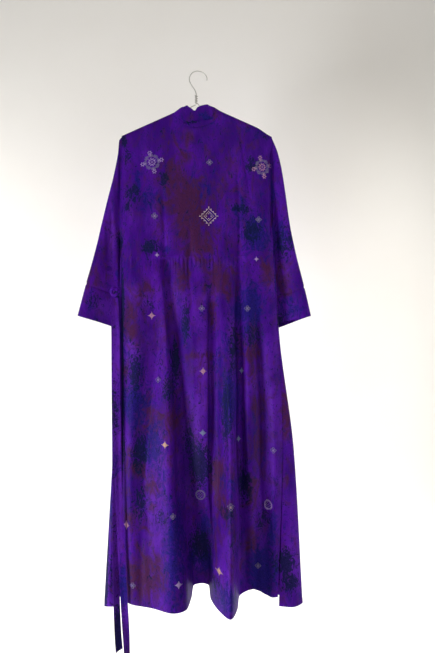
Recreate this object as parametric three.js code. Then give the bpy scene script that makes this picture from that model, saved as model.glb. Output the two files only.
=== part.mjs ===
// A long silk wrap robe of kimono cut on a steel wire hanger, hanging flat under its own weight.
// Millimetres, +Z up. +Y is the robe's front and +X is its wearer's right. The origin is the point of the
// hook's inner curve that rests on a rail.
import * as THREE from 'three';

const cloth = { wall: 1.2, gap: 0.35, color: 0x3f1696, roughness: 0.55 };
const neck = { half: 61, pointZ: -112, drop: 42 };
const shoulder = { slope: 0.447, seamY: 1.4, leftX: -207, rightX: 205 };
const rightShoulder = { lift: 4, corner: 7.6, cornerFrom: 160 };
const armhole = { bottomZ: -402, sewnOver: 40 };
const waist = { z: -509, rightX: 209, spreadFrom: -460 };
const wire = { radius: 1.3, color: 0x8f9094, roughness: 0.35, metalness: 1 };
const belt = { width: 19, wall: 1.2 };

// Row heights of the skirt tables, as shares of the way from the waist seam to the hem.
const levels = { waist: 0, hip: 0.23, knee: 0.56, hem: 1 };

// The back skirt, a row for each fold line from the left seam to the right: x and y at four heights, and
// the height of the hem there. Low y stands out towards the back.
const backSkirtFolds = [
  { line: 'left seam', waistX: -207, waistY: -1.6, hipX: -207, hipY: -7,
    kneeX: -205, kneeY: -8, hemX: -205, hemY: -12, hemZ: -1446 },
  { line: 'side ridge', waistX: -172, waistY: -13, hipX: -168, hipY: -19,
    kneeX: -178, kneeY: -22, hemX: -171, hemY: -36, hemZ: -1448 },
  { line: 'side trough', waistX: -134, waistY: -13, hipX: -118, hipY: -8,
    kneeX: -147, kneeY: -14, hemX: -124, hemY: -47, hemZ: -1450 },
  { line: 'left lobe', waistX: -106, waistY: -13, hipX: -83, hipY: -24,
    kneeX: -71, kneeY: -46, hemX: -60, hemY: -74, hemZ: -1451 },
  { line: 'left lobe flank', waistX: -88, waistY: -8, hipX: -68, hipY: -17,
    kneeX: -43, kneeY: -26, hemX: -27, hemY: -58, hemZ: -1450 },
  { line: 'left fold foot', waistX: -68, waistY: -12, hipX: -55, hipY: -9,
    kneeX: -30, kneeY: -8, hemX: -16, hemY: -14, hemZ: -1442 },
  { line: 'middle trough start', waistX: -41, waistY: -13, hipX: -35, hipY: -14,
    kneeX: -17, kneeY: -6, hemX: -10, hemY: 9, hemZ: -1417 },
  { line: 'middle trough', waistX: -19, waistY: -9, hipX: 6, hipY: -22,
    kneeX: 10, kneeY: -16, hemX: 12, hemY: 12, hemZ: -1413 },
  { line: 'middle trough end', waistX: 8, waistY: -13, hipX: 29, hipY: -20,
    kneeX: 30, kneeY: -18, hemX: 31, hemY: 10, hemZ: -1417 },
  { line: 'middle crease', waistX: 33, waistY: -13, hipX: 38, hipY: -12,
    kneeX: 38, kneeY: -10, hemX: 37, hemY: -10, hemZ: -1444 },
  { line: 'right lobe flank', waistX: 57, waistY: -14, hipX: 57, hipY: -18,
    kneeX: 60, kneeY: -22, hemX: 60, hemY: -62, hemZ: -1450 },
  { line: 'right lobe', waistX: 79, waistY: -14, hipX: 81, hipY: -27,
    kneeX: 92, kneeY: -52, hemX: 89, hemY: -100, hemZ: -1452 },
  { line: 'right lobe turn', waistX: 98, waistY: -12, hipX: 103, hipY: -17,
    kneeX: 110, kneeY: -30, hemX: 108, hemY: -56, hemZ: -1450 },
  { line: 'right trough start', waistX: 115, waistY: -8, hipX: 115, hipY: -9,
    kneeX: 121, kneeY: -13, hemX: 117, hemY: -5, hemZ: -1438 },
  { line: 'right ridge', waistX: 136, waistY: -13, hipX: 141, hipY: -20,
    kneeX: 144, kneeY: -24, hemX: 156, hemY: 1, hemZ: -1424 },
  { line: 'right trough', waistX: 164, waistY: -12, hipX: 169, hipY: -6,
    kneeX: 189, kneeY: -1, hemX: 188, hemY: -4, hemZ: -1436 },
  { line: 'seam ridge', waistX: 191, waistY: -11, hipX: 200, hipY: -13,
    kneeX: 213, kneeY: -14, hemX: 207, hemY: -11, hemZ: -1441 },
  { line: 'right seam', waistX: 209, waistY: -1.6, hipX: 222, hipY: -3,
    kneeX: 234, kneeY: -4, hemX: 221, hemY: -8, hemZ: -1441 },
];

// The right front skirt, from the side seam round the outer fold and back to the inner front edge.
const rightSkirtFolds = [
  { line: 'side seam', waistX: 209.6, waistY: -1.4, hipX: 222.9, hipY: -2.7,
    kneeX: 234.6, kneeY: -3.7, hemX: 224, hemY: -6, hemZ: -1467 },
  { line: 'side face', waistX: 211.6, waistY: -0.4, hipX: 225.3, hipY: -1.2,
    kneeX: 252, kneeY: -5, hemX: 260, hemY: -12, hemZ: -1467 },
  { line: 'outer fold', waistX: 212.4, waistY: 2, hipX: 226.8, hipY: 4,
    kneeX: 266.5, kneeY: 4, hemX: 290.5, hemY: 3, hemZ: -1461 },
  { line: 'outer turn', waistX: 206, waistY: 7, hipX: 218, hipY: 11,
    kneeX: 257, kneeY: 17, hemX: 282, hemY: 24, hemZ: -1462 },
  { line: 'outer front', waistX: 188, waistY: 9, hipX: 198, hipY: 13,
    kneeX: 222, kneeY: 23, hemX: 246, hemY: 38, hemZ: -1460 },
  { line: 'first trough', waistX: 150, waistY: 9, hipX: 156, hipY: 12,
    kneeX: 176, kneeY: 19, hemX: 196, hemY: 30, hemZ: -1450 },
  { line: 'first ridge', waistX: 112, waistY: 9, hipX: 116, hipY: 15,
    kneeX: 126, kneeY: 26, hemX: 140, hemY: 42, hemZ: -1440 },
  { line: 'second trough', waistX: 60, waistY: 9, hipX: 62, hipY: 12,
    kneeX: 66, kneeY: 20, hemX: 72, hemY: 31, hemZ: -1430 },
  { line: 'second ridge', waistX: 0, waistY: 9, hipX: 0, hipY: 14,
    kneeX: 0, kneeY: 24, hemX: 2, hemY: 39, hemZ: -1420 },
  { line: 'third trough', waistX: -55, waistY: 9, hipX: -55, hipY: 13,
    kneeX: -54, kneeY: 21, hemX: -54, hemY: 33, hemZ: -1424 },
  { line: 'front edge', waistX: -92, waistY: 9, hipX: -92, hipY: 14,
    kneeX: -91, kneeY: 23, hemX: -90, hemY: 37, hemZ: -1430 },
];

// The left front skirt, which lies over the right one.
const leftSkirtFolds = [
  { line: 'side seam', waistX: -207.5, waistY: -1.4, hipX: -207.5, hipY: -6.8,
    kneeX: -205.6, kneeY: -7.9, hemX: -216, hemY: -6, hemZ: -1468 },
  { line: 'side face', waistX: -209.6, waistY: -0.4, hipX: -213, hipY: -5,
    kneeX: -221, kneeY: -6, hemX: -238, hemY: -7, hemZ: -1468 },
  { line: 'outer fold', waistX: -210.4, waistY: 2, hipX: -217, hipY: 1,
    kneeX: -232, kneeY: 3, hemX: -257, hemY: 6, hemZ: -1472 },
  { line: 'outer turn', waistX: -206, waistY: 6.5, hipX: -212, hipY: 8,
    kneeX: -224, kneeY: 15, hemX: -247, hemY: 24, hemZ: -1469 },
  { line: 'outer front', waistX: -186, waistY: 10, hipX: -186, hipY: 13,
    kneeX: -194, kneeY: 22, hemX: -214, hemY: 38, hemZ: -1462 },
  { line: 'first trough', waistX: -150, waistY: 13, hipX: -150, hipY: 15,
    kneeX: -154, kneeY: 23, hemX: -166, hemY: 34, hemZ: -1452 },
  { line: 'first ridge', waistX: -106, waistY: 16, hipX: -108, hipY: 22,
    kneeX: -112, kneeY: 33, hemX: -118, hemY: 49, hemZ: -1440 },
  { line: 'second trough', waistX: -55, waistY: 17, hipX: -55, hipY: 21,
    kneeX: -54, kneeY: 29, hemX: -54, hemY: 41, hemZ: -1428 },
  { line: 'second ridge', waistX: 0, waistY: 17, hipX: 0, hipY: 22,
    kneeX: 0, kneeY: 32, hemX: 2, hemY: 48, hemZ: -1420 },
  { line: 'third trough', waistX: 60, waistY: 17, hipX: 62, hipY: 20,
    kneeX: 66, kneeY: 28, hemX: 72, hemY: 40, hemZ: -1426 },
  { line: 'front edge', waistX: 92, waistY: 17, hipX: 96, hipY: 22,
    kneeX: 102, kneeY: 33, hemX: 110, hemY: 49, hemZ: -1434 },
];

// Gathers under the waist seam of the back: a row for each gathered stretch.
const waistGathers = [
  { fromX: -202, toX: -125, folds: 7, depth: 1.8 },
  { fromX: -72, toX: 52, folds: 10, depth: 2 },
  { fromX: 62, toX: 196, folds: 8, depth: 1.2 },
];
const gatherLength = { rise: 14, fade: 105 };

// Soft folds of the back bodice: where each one runs from and to, its half width, and its depth,
// where + is a trough.
const bodiceFolds = [
  { fromX: 120, fromZ: -183, toX: 151, toZ: -395, width: 9, depth: 2.6 },
  { fromX: -96, fromZ: -330, toX: -88, toZ: -509, width: 10, depth: 4 },
  { fromX: 118, fromZ: -300, toX: 115, toZ: -509, width: 9, depth: 4 },
  { fromX: -19, fromZ: -420, toX: -19, toZ: -509, width: 9, depth: 3 },
  { fromX: -150, fromZ: -260, toX: -150, toZ: -470, width: 24, depth: -3 },
  { fromX: 165, fromZ: -240, toX: 160, toZ: -480, width: 22, depth: -3 },
];

// Sleeve rings from the armhole down to the cuff's open end: outer and inner end of the flat tube, how far
// it stands off to the front at the inner end, its half thickness, and how much lower its front layer ends.
const leftSleeveRings = [
  { outerX: -207.95, outerZ: -180, innerX: -207.95, innerZ: -401, innerY: 0, half: 4.5, frontDrop: 0 },
  { outerX: -214.5, outerZ: -190, innerX: -208.3, innerZ: -406, innerY: 1.5, half: 6, frontDrop: 0 },
  { outerX: -217.5, outerZ: -222, innerX: -209.5, innerZ: -416, innerY: 5, half: 8, frontDrop: 0 },
  { outerX: -229, outerZ: -283, innerX: -210, innerZ: -440, innerY: 14, half: 10, frontDrop: 0 },
  { outerX: -246, outerZ: -350, innerX: -206, innerZ: -475, innerY: 24, half: 11, frontDrop: 0 },
  { outerX: -263, outerZ: -420, innerX: -199, innerZ: -518, innerY: 28, half: 12, frontDrop: 0 },
  { outerX: -283, outerZ: -500, innerX: -193, innerZ: -565, innerY: 30, half: 12.5, frontDrop: 0 },
  { outerX: -306, outerZ: -584, innerX: -187, innerZ: -629, innerY: 31, half: 13, frontDrop: 0 },
  { outerX: -329, outerZ: -671, innerX: -183, innerZ: -717, innerY: 32, half: 14, frontDrop: 5 },
];
const rightSleeveRings = [
  { outerX: 205.95, outerZ: -183, innerX: 205.95, innerZ: -401, innerY: 0, half: 4.5, frontDrop: 0 },
  { outerX: 211, outerZ: -196, innerX: 206.4, innerZ: -407, innerY: 1.5, half: 6, frontDrop: 0 },
  { outerX: 219.8, outerZ: -218, innerX: 207.5, innerZ: -418, innerY: 5, half: 8, frontDrop: 0 },
  { outerX: 231, outerZ: -262, innerX: 208.5, innerZ: -442, innerY: 14, half: 10, frontDrop: 0 },
  { outerX: 242.5, outerZ: -335, innerX: 207, innerZ: -480, innerY: 25, half: 11, frontDrop: 0 },
  { outerX: 254, outerZ: -415, innerX: 200, innerZ: -522, innerY: 31, half: 12, frontDrop: 0 },
  { outerX: 272.5, outerZ: -505, innerX: 190, innerZ: -572, innerY: 33, half: 12.5, frontDrop: 0 },
  { outerX: 295, outerZ: -594, innerX: 181, innerZ: -633, innerY: 34, half: 13, frontDrop: 0 },
  { outerX: 313, outerZ: -672, innerX: 176, innerZ: -702, innerY: 35, half: 14, frontDrop: 24 },
];

// Neckband sections from the left front's waist round the back of the neck to the right front's waist: the
// sewn edge, the fold along its top, and the free edge, which hangs outside the fold at the back.
const neckbandSections = [
  { seamX: 47, seamY: 17.2, seamZ: -508.6, foldX: 68, foldY: 17.6, foldZ: -508.6,
    edgeX: 90, edgeY: 17.2, edgeZ: -508.6 },
  { seamX: 20, seamY: 17.1, seamZ: -400, foldX: 41, foldY: 17.4, foldZ: -394,
    edgeX: 62, edgeY: 17, edgeZ: -388 },
  { seamX: -7, seamY: 17, seamZ: -300, foldX: 13, foldY: 17.2, foldZ: -292,
    edgeX: 33, edgeY: 16.8, edgeZ: -284 },
  { seamX: -34, seamY: 15.6, seamZ: -205, foldX: -15, foldY: 15.8, foldZ: -196,
    edgeX: 4, edgeY: 15.4, edgeZ: -187 },
  { seamX: -50, seamY: 9.2, seamZ: -150, foldX: -31, foldY: 10, foldZ: -138,
    edgeX: -13, edgeY: 10, edgeZ: -128 },
  { seamX: -60.6, seamY: 1.2, seamZ: -111.4, foldX: -44, foldY: 1, foldZ: -101,
    edgeX: -27, edgeY: 3, edgeZ: -92 },
  { seamX: -57, seamY: -5.6, seamZ: -125, foldX: -36, foldY: -8, foldZ: -99.5,
    edgeX: -43, edgeY: -10.4, edgeZ: -116 },
  { seamX: -44, seamY: -7.6, seamZ: -143, foldX: -28, foldY: -9, foldZ: -98,
    edgeX: -37, edgeY: -13, edgeZ: -143 },
  { seamX: -22, seamY: -8.6, seamZ: -154, foldX: -17, foldY: -9.6, foldZ: -104,
    edgeX: -19, edgeY: -14.6, edgeZ: -144 },
  { seamX: -4, seamY: -8.9, seamZ: -156, foldX: -6.5, foldY: -9.8, foldZ: -111,
    edgeX: -5, edgeY: -14.6, edgeZ: -139 },
  { seamX: 16, seamY: -8.8, seamZ: -155, foldX: 2, foldY: -9.6, foldZ: -101,
    edgeX: 12, edgeY: -14.2, edgeZ: -136 },
  { seamX: 44, seamY: -7.6, seamZ: -143, foldX: 27, foldY: -9, foldZ: -93.5,
    edgeX: 34, edgeY: -13, edgeZ: -134 },
  { seamX: 57, seamY: -5.6, seamZ: -124, foldX: 35, foldY: -8, foldZ: -97.5,
    edgeX: 44, edgeY: -10.4, edgeZ: -115 },
  { seamX: 60.6, seamY: 1.2, seamZ: -107.4, foldX: 44, foldY: 1, foldZ: -98.5,
    edgeX: 27, edgeY: 3, edgeZ: -90 },
  { seamX: 50, seamY: 7, seamZ: -150, foldX: 31, foldY: 6.4, foldZ: -138,
    edgeX: 13, edgeY: 5, edgeZ: -128 },
  { seamX: 34, seamY: 8.2, seamZ: -205, foldX: 15, foldY: 8, foldZ: -196,
    edgeX: -4, edgeY: 7.4, edgeZ: -187 },
  { seamX: 7, seamY: 9, seamZ: -300, foldX: -13, foldY: 8.8, foldZ: -292,
    edgeX: -33, edgeY: 8.8, edgeZ: -284 },
  { seamX: -20, seamY: 9, seamZ: -400, foldX: -41, foldY: 9, foldZ: -394,
    edgeX: -62, edgeY: 9, edgeZ: -388 },
  { seamX: -47, seamY: 9, seamZ: -508.6, foldX: -68, foldY: 9, foldZ: -508.6,
    edgeX: -90, edgeY: 9, edgeZ: -508.6 },
];

// The two belt ends, from the knot down: middle line, twist of the strip about it, and width.
const shortTieSections = [
  { x: -226, y: -10, z: -624, twist: 0.1 },
  { x: -224, y: -12, z: -720, twist: 0.1 },
  { x: -223, y: -14, z: -900, twist: 0.05 },
  { x: -221, y: -16, z: -1120, twist: 0.12 },
  { x: -221, y: -17, z: -1300, twist: 0.4 },
  { x: -218, y: -17, z: -1450, twist: 0.68 },
  { x: -214.3, y: -17, z: -1540, twist: 0.66 },
  { x: -211, y: -17, z: -1582, twist: 0.55 },
];
const longTieSections = [
  { x: -224, y: -14, z: -624, twist: 0.25 },
  { x: -220, y: -16, z: -720, twist: 0.25 },
  { x: -217.5, y: -19, z: -900, twist: 0.2 },
  { x: -211.5, y: -25, z: -1120, twist: 0.2 },
  { x: -203, y: -32, z: -1300, twist: 0.12 },
  { x: -193.5, y: -38, z: -1450, twist: 0.15 },
  { x: -187, y: -38, z: -1560, twist: 0.7 },
  { x: -185, y: -37, z: -1632, twist: 0.85 },
];

const mix = (from, to, share) => from + (to - from) * share;
const clamp = (value, low, high) => Math.min(Math.max(value, low), high);
const ease = (share) => {
  const t = clamp(share, 0, 1);
  return t * t * (3 - 2 * t);
};

// A smooth curve through values at rising stations that never overshoots them.
function curveThrough(stations, values) {
  const last = stations.length - 1;
  const slopes = [];
  for (let i = 0; i < last; i++) {
    slopes.push((values[i + 1] - values[i]) / (stations[i + 1] - stations[i]));
  }
  const tangents = stations.map((station, i) => {
    if (i === 0) return slopes[0];
    if (i === last) return slopes[last - 1];
    const before = slopes[i - 1];
    const after = slopes[i];
    return before * after <= 0 ? 0 : (2 * before * after) / (before + after);
  });
  return (place) => {
    const at = clamp(place, stations[0], stations[last]);
    let i = 0;
    while (i < last - 1 && at > stations[i + 1]) i++;
    const span = stations[i + 1] - stations[i];
    const t = (at - stations[i]) / span;
    const bend = t * t * (3 - 2 * t);
    const rise = t * (1 - t) * (1 - t) * span * tangents[i];
    const fall = t * t * (1 - t) * span * tangents[i + 1];
    return mix(values[i], values[i + 1], bend) + rise - fall;
  };
}

// A smooth curve through one named column of a table, by row number.
function columnCurve(rows, column) {
  return curveThrough(rows.map((row, i) => i), rows.map((row) => row[column]));
}

// A closed wall between two grids of points. A wrapped wall closes on itself along its rows.
function wallBetween(outer, inner, wrapped) {
  const rowCount = outer.length;
  const colCount = outer[0].length;
  const positions = [];
  for (const grid of [outer, inner]) {
    for (const row of grid) {
      for (const point of row) positions.push(point.x, point.y, point.z);
    }
  }
  const at = (layer, row, col) => (layer * rowCount + row) * colCount + (col % colCount);
  const faces = [];
  const quad = (a, b, c, d) => faces.push(a, b, c, a, c, d);
  const colSpans = wrapped ? colCount : colCount - 1;
  for (let row = 0; row < rowCount - 1; row++) {
    for (let col = 0; col < colSpans; col++) {
      quad(at(0, row, col), at(0, row, col + 1), at(0, row + 1, col + 1), at(0, row + 1, col));
      quad(at(1, row, col), at(1, row + 1, col), at(1, row + 1, col + 1), at(1, row, col + 1));
    }
  }
  for (let col = 0; col < colSpans; col++) {
    const end = rowCount - 1;
    quad(at(0, 0, col), at(1, 0, col), at(1, 0, col + 1), at(0, 0, col + 1));
    quad(at(0, end, col), at(0, end, col + 1), at(1, end, col + 1), at(1, end, col));
  }
  if (!wrapped) {
    const end = colCount - 1;
    for (let row = 0; row < rowCount - 1; row++) {
      quad(at(0, row, 0), at(0, row + 1, 0), at(1, row + 1, 0), at(1, row, 0));
      quad(at(0, row, end), at(1, row, end), at(1, row + 1, end), at(0, row + 1, end));
    }
  }
  return closedGeometry(positions, faces);
}

// Turns the faces outward if the mesh's signed volume says that they face in.
function closedGeometry(positions, faces) {
  const corner = (index) => new THREE.Vector3().fromArray(positions, index * 3);
  let volume = 0;
  for (let i = 0; i < faces.length; i += 3) {
    volume += corner(faces[i]).dot(corner(faces[i + 1]).cross(corner(faces[i + 2])));
  }
  const outward = volume > 0 ? faces : faces.slice().reverse();
  const geometry = new THREE.BufferGeometry();
  geometry.setAttribute('position', new THREE.Float32BufferAttribute(positions, 3));
  geometry.setIndex(outward);
  geometry.computeVertexNormals();
  return geometry;
}

// A panel's wall: the outer face is surface(across, down) and the inner one lies a wall's thickness behind.
function panelWall(surface, across, down, side) {
  const step = 0.002;
  const inwardAt = (u, v) => {
    const alongU = surface(Math.min(u + step, 1), v).sub(surface(Math.max(u - step, 0), v));
    const alongV = surface(u, Math.min(v + step, 1)).sub(surface(u, Math.max(v - step, 0)));
    return alongU.cross(alongV).normalize().multiplyScalar(side * cloth.wall);
  };
  const outer = down.map((v) => across.map((u) => surface(u, v)));
  const inner = down.map((v) => across.map((u) => surface(u, v).add(inwardAt(u, v))));
  return wallBetween(outer, inner, false);
}

// Evenly spaced stations from 0 to 1.
function stations(count) {
  return Array.from({ length: count + 1 }, (unused, i) => i / count);
}

// A skirt panel through its table's fold lines, from topZ to each line's hem.
function skirtSurface(folds, topZ, relief = () => 0) {
  const shares = Object.values(levels);
  const names = Object.keys(levels);
  const lineCurve = (row, axis) => curveThrough(shares, names.map((name) => row[name + axis]));
  const lineX = folds.map((row) => lineCurve(row, 'X'));
  const lineY = folds.map((row) => lineCurve(row, 'Y'));
  const lineStations = folds.map((row, i) => i / (folds.length - 1));
  const hem = curveThrough(lineStations, folds.map((row) => row.hemZ));
  return (u, v) => {
    const x = curveThrough(lineStations, lineX.map((curve) => curve(v)))(u);
    const y = curveThrough(lineStations, lineY.map((curve) => curve(v)))(u);
    const z = mix(topZ, hem(u), v);
    return new THREE.Vector3(x, y + relief(x, z), z);
  };
}

function gatherRelief(x, z) {
  const below = waist.z - z;
  const strength = ease(below / gatherLength.rise) * (1 - ease(below / gatherLength.fade));
  let relief = 0;
  for (const stretch of waistGathers) {
    const share = (x - stretch.fromX) / (stretch.toX - stretch.fromX);
    if (share > 0 && share < 1) {
      const wave = Math.sin(2 * Math.PI * stretch.folds * share);
      relief += stretch.depth * wave * Math.sqrt(Math.sin(Math.PI * share));
    }
  }
  return relief * strength;
}

// The right shoulder hangs a little higher than the left one, and its corner is rounded off.
function shoulderLift(x) {
  const toCorner = (x - rightShoulder.cornerFrom) / (shoulder.rightX - rightShoulder.cornerFrom);
  return rightShoulder.lift * ease(x / neck.half) - rightShoulder.corner * ease(toCorner);
}

// Height of the shoulder seams and, between the neck points, of the seam that the neckband is sewn to.
function bodiceTop(x, neckDrop) {
  const reach = Math.abs(x);
  const pointZ = neck.pointZ + shoulderLift(x);
  if (reach >= neck.half) return pointZ - (reach - neck.half) * shoulder.slope;
  return pointZ - neckDrop * Math.sqrt(1 - (reach / neck.half) ** 2);
}

// A bodice panel leaves the shoulder seam quickly at first and then slowly: the lengths that this takes.
const standOff = { atSeam: 4, quickIn: 6, slowIn: 70 };

// How far a bodice panel stands off the shoulders' plane. It is open at the armholes and drawn in to
// the plane again at the side seams below them.
function bodiceDepth(x, z, topZ, fullness) {
  const below = Math.max(topZ - z, 0);
  const reach = Math.min(Math.abs(x) / shoulder.rightX, 1);
  const sewn = ease((armhole.bottomZ - z) / armhole.sewnOver) * reach ** 16;
  const first = standOff.atSeam * (1 - Math.exp(-below / standOff.quickIn)) * (1 - sewn);
  const more = fullness * (1 - Math.exp(-below / standOff.slowIn)) * (1 - reach ** 4);
  return shoulder.seamY + first + more;
}

const fullness = { back: 7.3, front: 3.8 };

// The left front lies over the right one: how far it is lifted and the length that this takes.
const overlap = { lift: 8, length: 110, fullBeforeEdge: 1.15 };

// Side edges of the bodice, straight at the armhole and spreading a little to the waist on the right.
const leftSideX = () => shoulder.leftX;
const spreadLength = waist.spreadFrom - waist.z;
const rightSideX = (z) => mix(shoulder.rightX, waist.rightX, ease((waist.spreadFrom - z) / spreadLength));

function foldRelief(folds, x, z) {
  let relief = 0;
  for (const fold of folds) {
    const share = (z - fold.fromZ) / (fold.toZ - fold.fromZ);
    const centre = mix(fold.fromX, fold.toX, share);
    const length = ease((share + 0.15) / 0.4) * (fold.toZ <= waist.z ? 1 : ease((1.15 - share) / 0.4));
    relief += fold.depth * length * Math.exp(-(((x - centre) / fold.width) ** 2));
  }
  return relief;
}

const backWaist = skirtSurface(backSkirtFolds, waist.z - cloth.gap);

// Shares of the back bodice's height: where its neck curve has spread to the full width, where it starts
// to follow the waist seam's line from side to side, and where it starts to follow its depth.
const backShares = { spreadBy: 0.45, lineFrom: 0.55, depthFrom: 0.8 };
const easedFrom = (from, share) => ease((share - from) / (1 - from));

// The back bodice ends on the same line as the gathered skirt, so its x follows the skirt's fold
// lines there.
function backBodiceSurface(u, v) {
  const spread = mix(shoulder.leftX, shoulder.rightX, u);
  const inNeck = clamp(spread / neck.half, -1, 1);
  const topX = Math.abs(spread) < neck.half ? neck.half * Math.sin((inNeck * Math.PI) / 2) : spread;
  const topZ = bodiceTop(topX, neck.drop);
  const seam = backWaist(u, 0);
  const z = mix(topZ, waist.z, v);
  const side = mix(leftSideX(), rightSideX(z), u);
  const spreadX = mix(topX, side, ease(v / backShares.spreadBy));
  const x = spreadX + (seam.x - side) * easedFrom(backShares.lineFrom, v);
  const seamShare = easedFrom(backShares.depthFrom, v);
  const stand = bodiceDepth(x, z, bodiceTop(topX, 0), fullness.back);
  const own = foldRelief(bodiceFolds, x, z) * (1 - seamShare) - stand;
  return new THREE.Vector3(x, mix(own, seam.y, seamShare), z);
}

// A front bodice: from the side to the slanting edge that the neckband is sewn to.
function frontBodiceSurface(sideX, neckX, edgeRows, layer) {
  const rows = edgeRows.slice().sort((a, b) => a.seamZ - b.seamZ);
  const edgeX = curveThrough(rows.map((row) => row.seamZ), rows.map((row) => row.seamX));
  return (u, v) => {
    const topX = mix(sideX(0), neckX, u);
    const topZ = bodiceTop(topX, neck.drop);
    const z = mix(topZ, waist.z + cloth.gap, v);
    const toEdge = Math.sign(neckX) * cloth.gap;
    const x = mix(sideX(z), edgeX(z) + toEdge, u);
    const own = bodiceDepth(x, z, topZ, fullness.front);
    const over = layer * ease((neck.pointZ - z) / overlap.length) * ease(u * overlap.fullBeforeEdge);
    return new THREE.Vector3(x, own + over, z);
  };
}

// The flat tube's section: how full its two faces are (1 is an ellipse), where across it the stand-off to
// the front is complete, and how much of a wall is trimmed off the inner face's two ends.
const tube = { fullness: 0.8, standOffDone: 0.62, trim: 1.6 };

// A sleeve's flat tube: row runs from the armhole to the open end and turn goes once round.
function sleeveRing(rings) {
  const curves = {};
  for (const column of Object.keys(rings[0])) curves[column] = columnCurve(rings, column);
  return (row, turn, inset) => {
    const width = -Math.cos(turn);
    const share = (width + 1) / 2;
    const innerEnd = new THREE.Vector2(curves.innerX(row), curves.innerZ(row));
    const outerEnd = new THREE.Vector2(curves.outerX(row), curves.outerZ(row));
    const trim = (inset * tube.trim) / outerEnd.distanceTo(innerEnd);
    const across = mix(trim, 1 - trim, share);
    const x = mix(outerEnd.x, innerEnd.x, across);
    const z = mix(outerEnd.y, innerEnd.y, across);
    const half = curves.half(row) - inset;
    const bulge = Math.sign(Math.sin(turn)) * Math.abs(Math.sin(turn)) ** tube.fullness;
    const middle = curves.innerY(row) * ease(across / tube.standOffDone);
    const drop = curves.frontDrop(row) * Math.max(bulge, 0) * across;
    return new THREE.Vector3(x, middle + half * bulge, z - drop);
  };
}

function sleeveWall(rings, fromRow, toRow, rowSteps, turns) {
  const ringPoint = sleeveRing(rings);
  const rows = stations(rowSteps).map((share) => mix(fromRow, toRow, share));
  const angles = Array.from({ length: turns }, (unused, i) => (2 * Math.PI * i) / turns);
  const grid = (inset) => rows.map((row) => angles.map((turn) => ringPoint(row, turn, inset)));
  return wallBetween(grid(0), grid(cloth.wall), true);
}

// Where the neckband's sewn edge, fold and free edge lie across it, as shares of its width.
const bandShares = [0, 0.55, 1];
const bandClearance = 1.6;

function neckbandSurface(u, v) {
  const row = u * (neckbandSections.length - 1);
  const at = (column) => columnCurve(neckbandSections, column)(row);
  const axis = (name, seam) => curveThrough(bandShares, [seam, at('fold' + name), at('edge' + name)])(v);
  const seamX = at('seamX');
  const atBack = at('seamY') < 0;
  const seamZ = atBack ? Math.max(at('seamZ'), bodiceTop(seamX, neck.drop) + bandClearance) : at('seamZ');
  return new THREE.Vector3(axis('X', seamX), axis('Y', at('seamY')), axis('Z', seamZ));
}

// The belt ends' slanting tips: the slant's steepness and the share of the length where it starts.
const tip = { steepness: 0.4, from: 0.9 };

// A belt end: a flat strip that turns a little as it hangs, with a slanting tip.
function tieSurface(sections) {
  const heights = sections.map((row) => -row.z);
  const column = (name) => curveThrough(heights, sections.map((row) => row[name]));
  const middleX = column('x');
  const middleY = column('y');
  const twist = column('twist');
  return (u, v) => {
    const along = (u - 0.5) * belt.width;
    const below = mix(heights[0], heights[heights.length - 1], v);
    const angle = twist(below);
    const slant = along * tip.steepness * easedFrom(tip.from, v);
    const x = middleX(below) + along * Math.cos(angle);
    const y = middleY(below) + along * Math.sin(angle);
    return new THREE.Vector3(x, y, -below + slant);
  };
}

// The knot at the side opening: a flat overhand wrap, a short fat loop of belt round the two ends.
const knot = { x: -226, y: -9, z: -606, halfWide: 8.5, halfDeep: 2.5, halfHigh: 10, from: 0.3, to: 5.9 };
const knotSection = { halfX: 3.4, halfY: 4.4, steps: 16 };

function knotGeometry() {
  const points = [];
  const last = knotSection.steps - 2;
  for (let i = 0; i <= last; i++) {
    const angle = mix(knot.from, knot.to, i / last);
    const x = knot.x + knot.halfWide * Math.cos(angle);
    const y = knot.y + knot.halfDeep * Math.sin(2 * angle);
    const z = knot.z + knot.halfHigh * Math.sin(angle);
    points.push(new THREE.Vector3(x, y, z));
  }
  const section = new THREE.Shape();
  section.absellipse(0, 0, knotSection.halfX, knotSection.halfY, 0, 2 * Math.PI);
  return new THREE.ExtrudeGeometry(section, {
    steps: knotSection.steps,
    curveSegments: 4,
    bevelEnabled: false,
    extrudePath: new THREE.CatmullRomCurve3(points),
  });
}

function wireAlong(points, steps) {
  const section = new THREE.Shape();
  section.absarc(0, 0, wire.radius, 0, 2 * Math.PI);
  return new THREE.ExtrudeGeometry(section, {
    steps,
    curveSegments: 4,
    bevelEnabled: false,
    extrudePath: new THREE.CatmullRomCurve3(points, false, 'centripetal'),
  });
}

// The hook: an open round with a wider free side, drawn in and straightened to the neck.
const hook = { radiusZ: 22.3, leftRadius: 21.5, rightRadius: 27, neckX: -2.6, neckBottomZ: -89.5 };
const hookTurn = { fromDegrees: -8, toDegrees: 205, stepDegrees: 12 };
const hookNeck = [
  { x: -14.4, z: -39 },
  { x: -7, z: -50 },
  { x: -3.2, z: -60 },
  { x: hook.neckX, z: -72 },
  { x: hook.neckX, z: hook.neckBottomZ },
];

function hookPoints() {
  const points = [];
  const topZ = wire.radius;
  for (let degrees = hookTurn.fromDegrees; degrees <= hookTurn.toDegrees; degrees += hookTurn.stepDegrees) {
    const angle = (degrees * Math.PI) / 180;
    const radius = degrees < 90 ? hook.rightRadius : hook.leftRadius;
    const x = radius * Math.cos(angle);
    const z = topZ - hook.radiusZ + hook.radiusZ * Math.sin(angle);
    points.push(new THREE.Vector3(x, 0, z));
  }
  for (const place of hookNeck) points.push(new THREE.Vector3(place.x, 0, place.z));
  return points;
}

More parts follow.
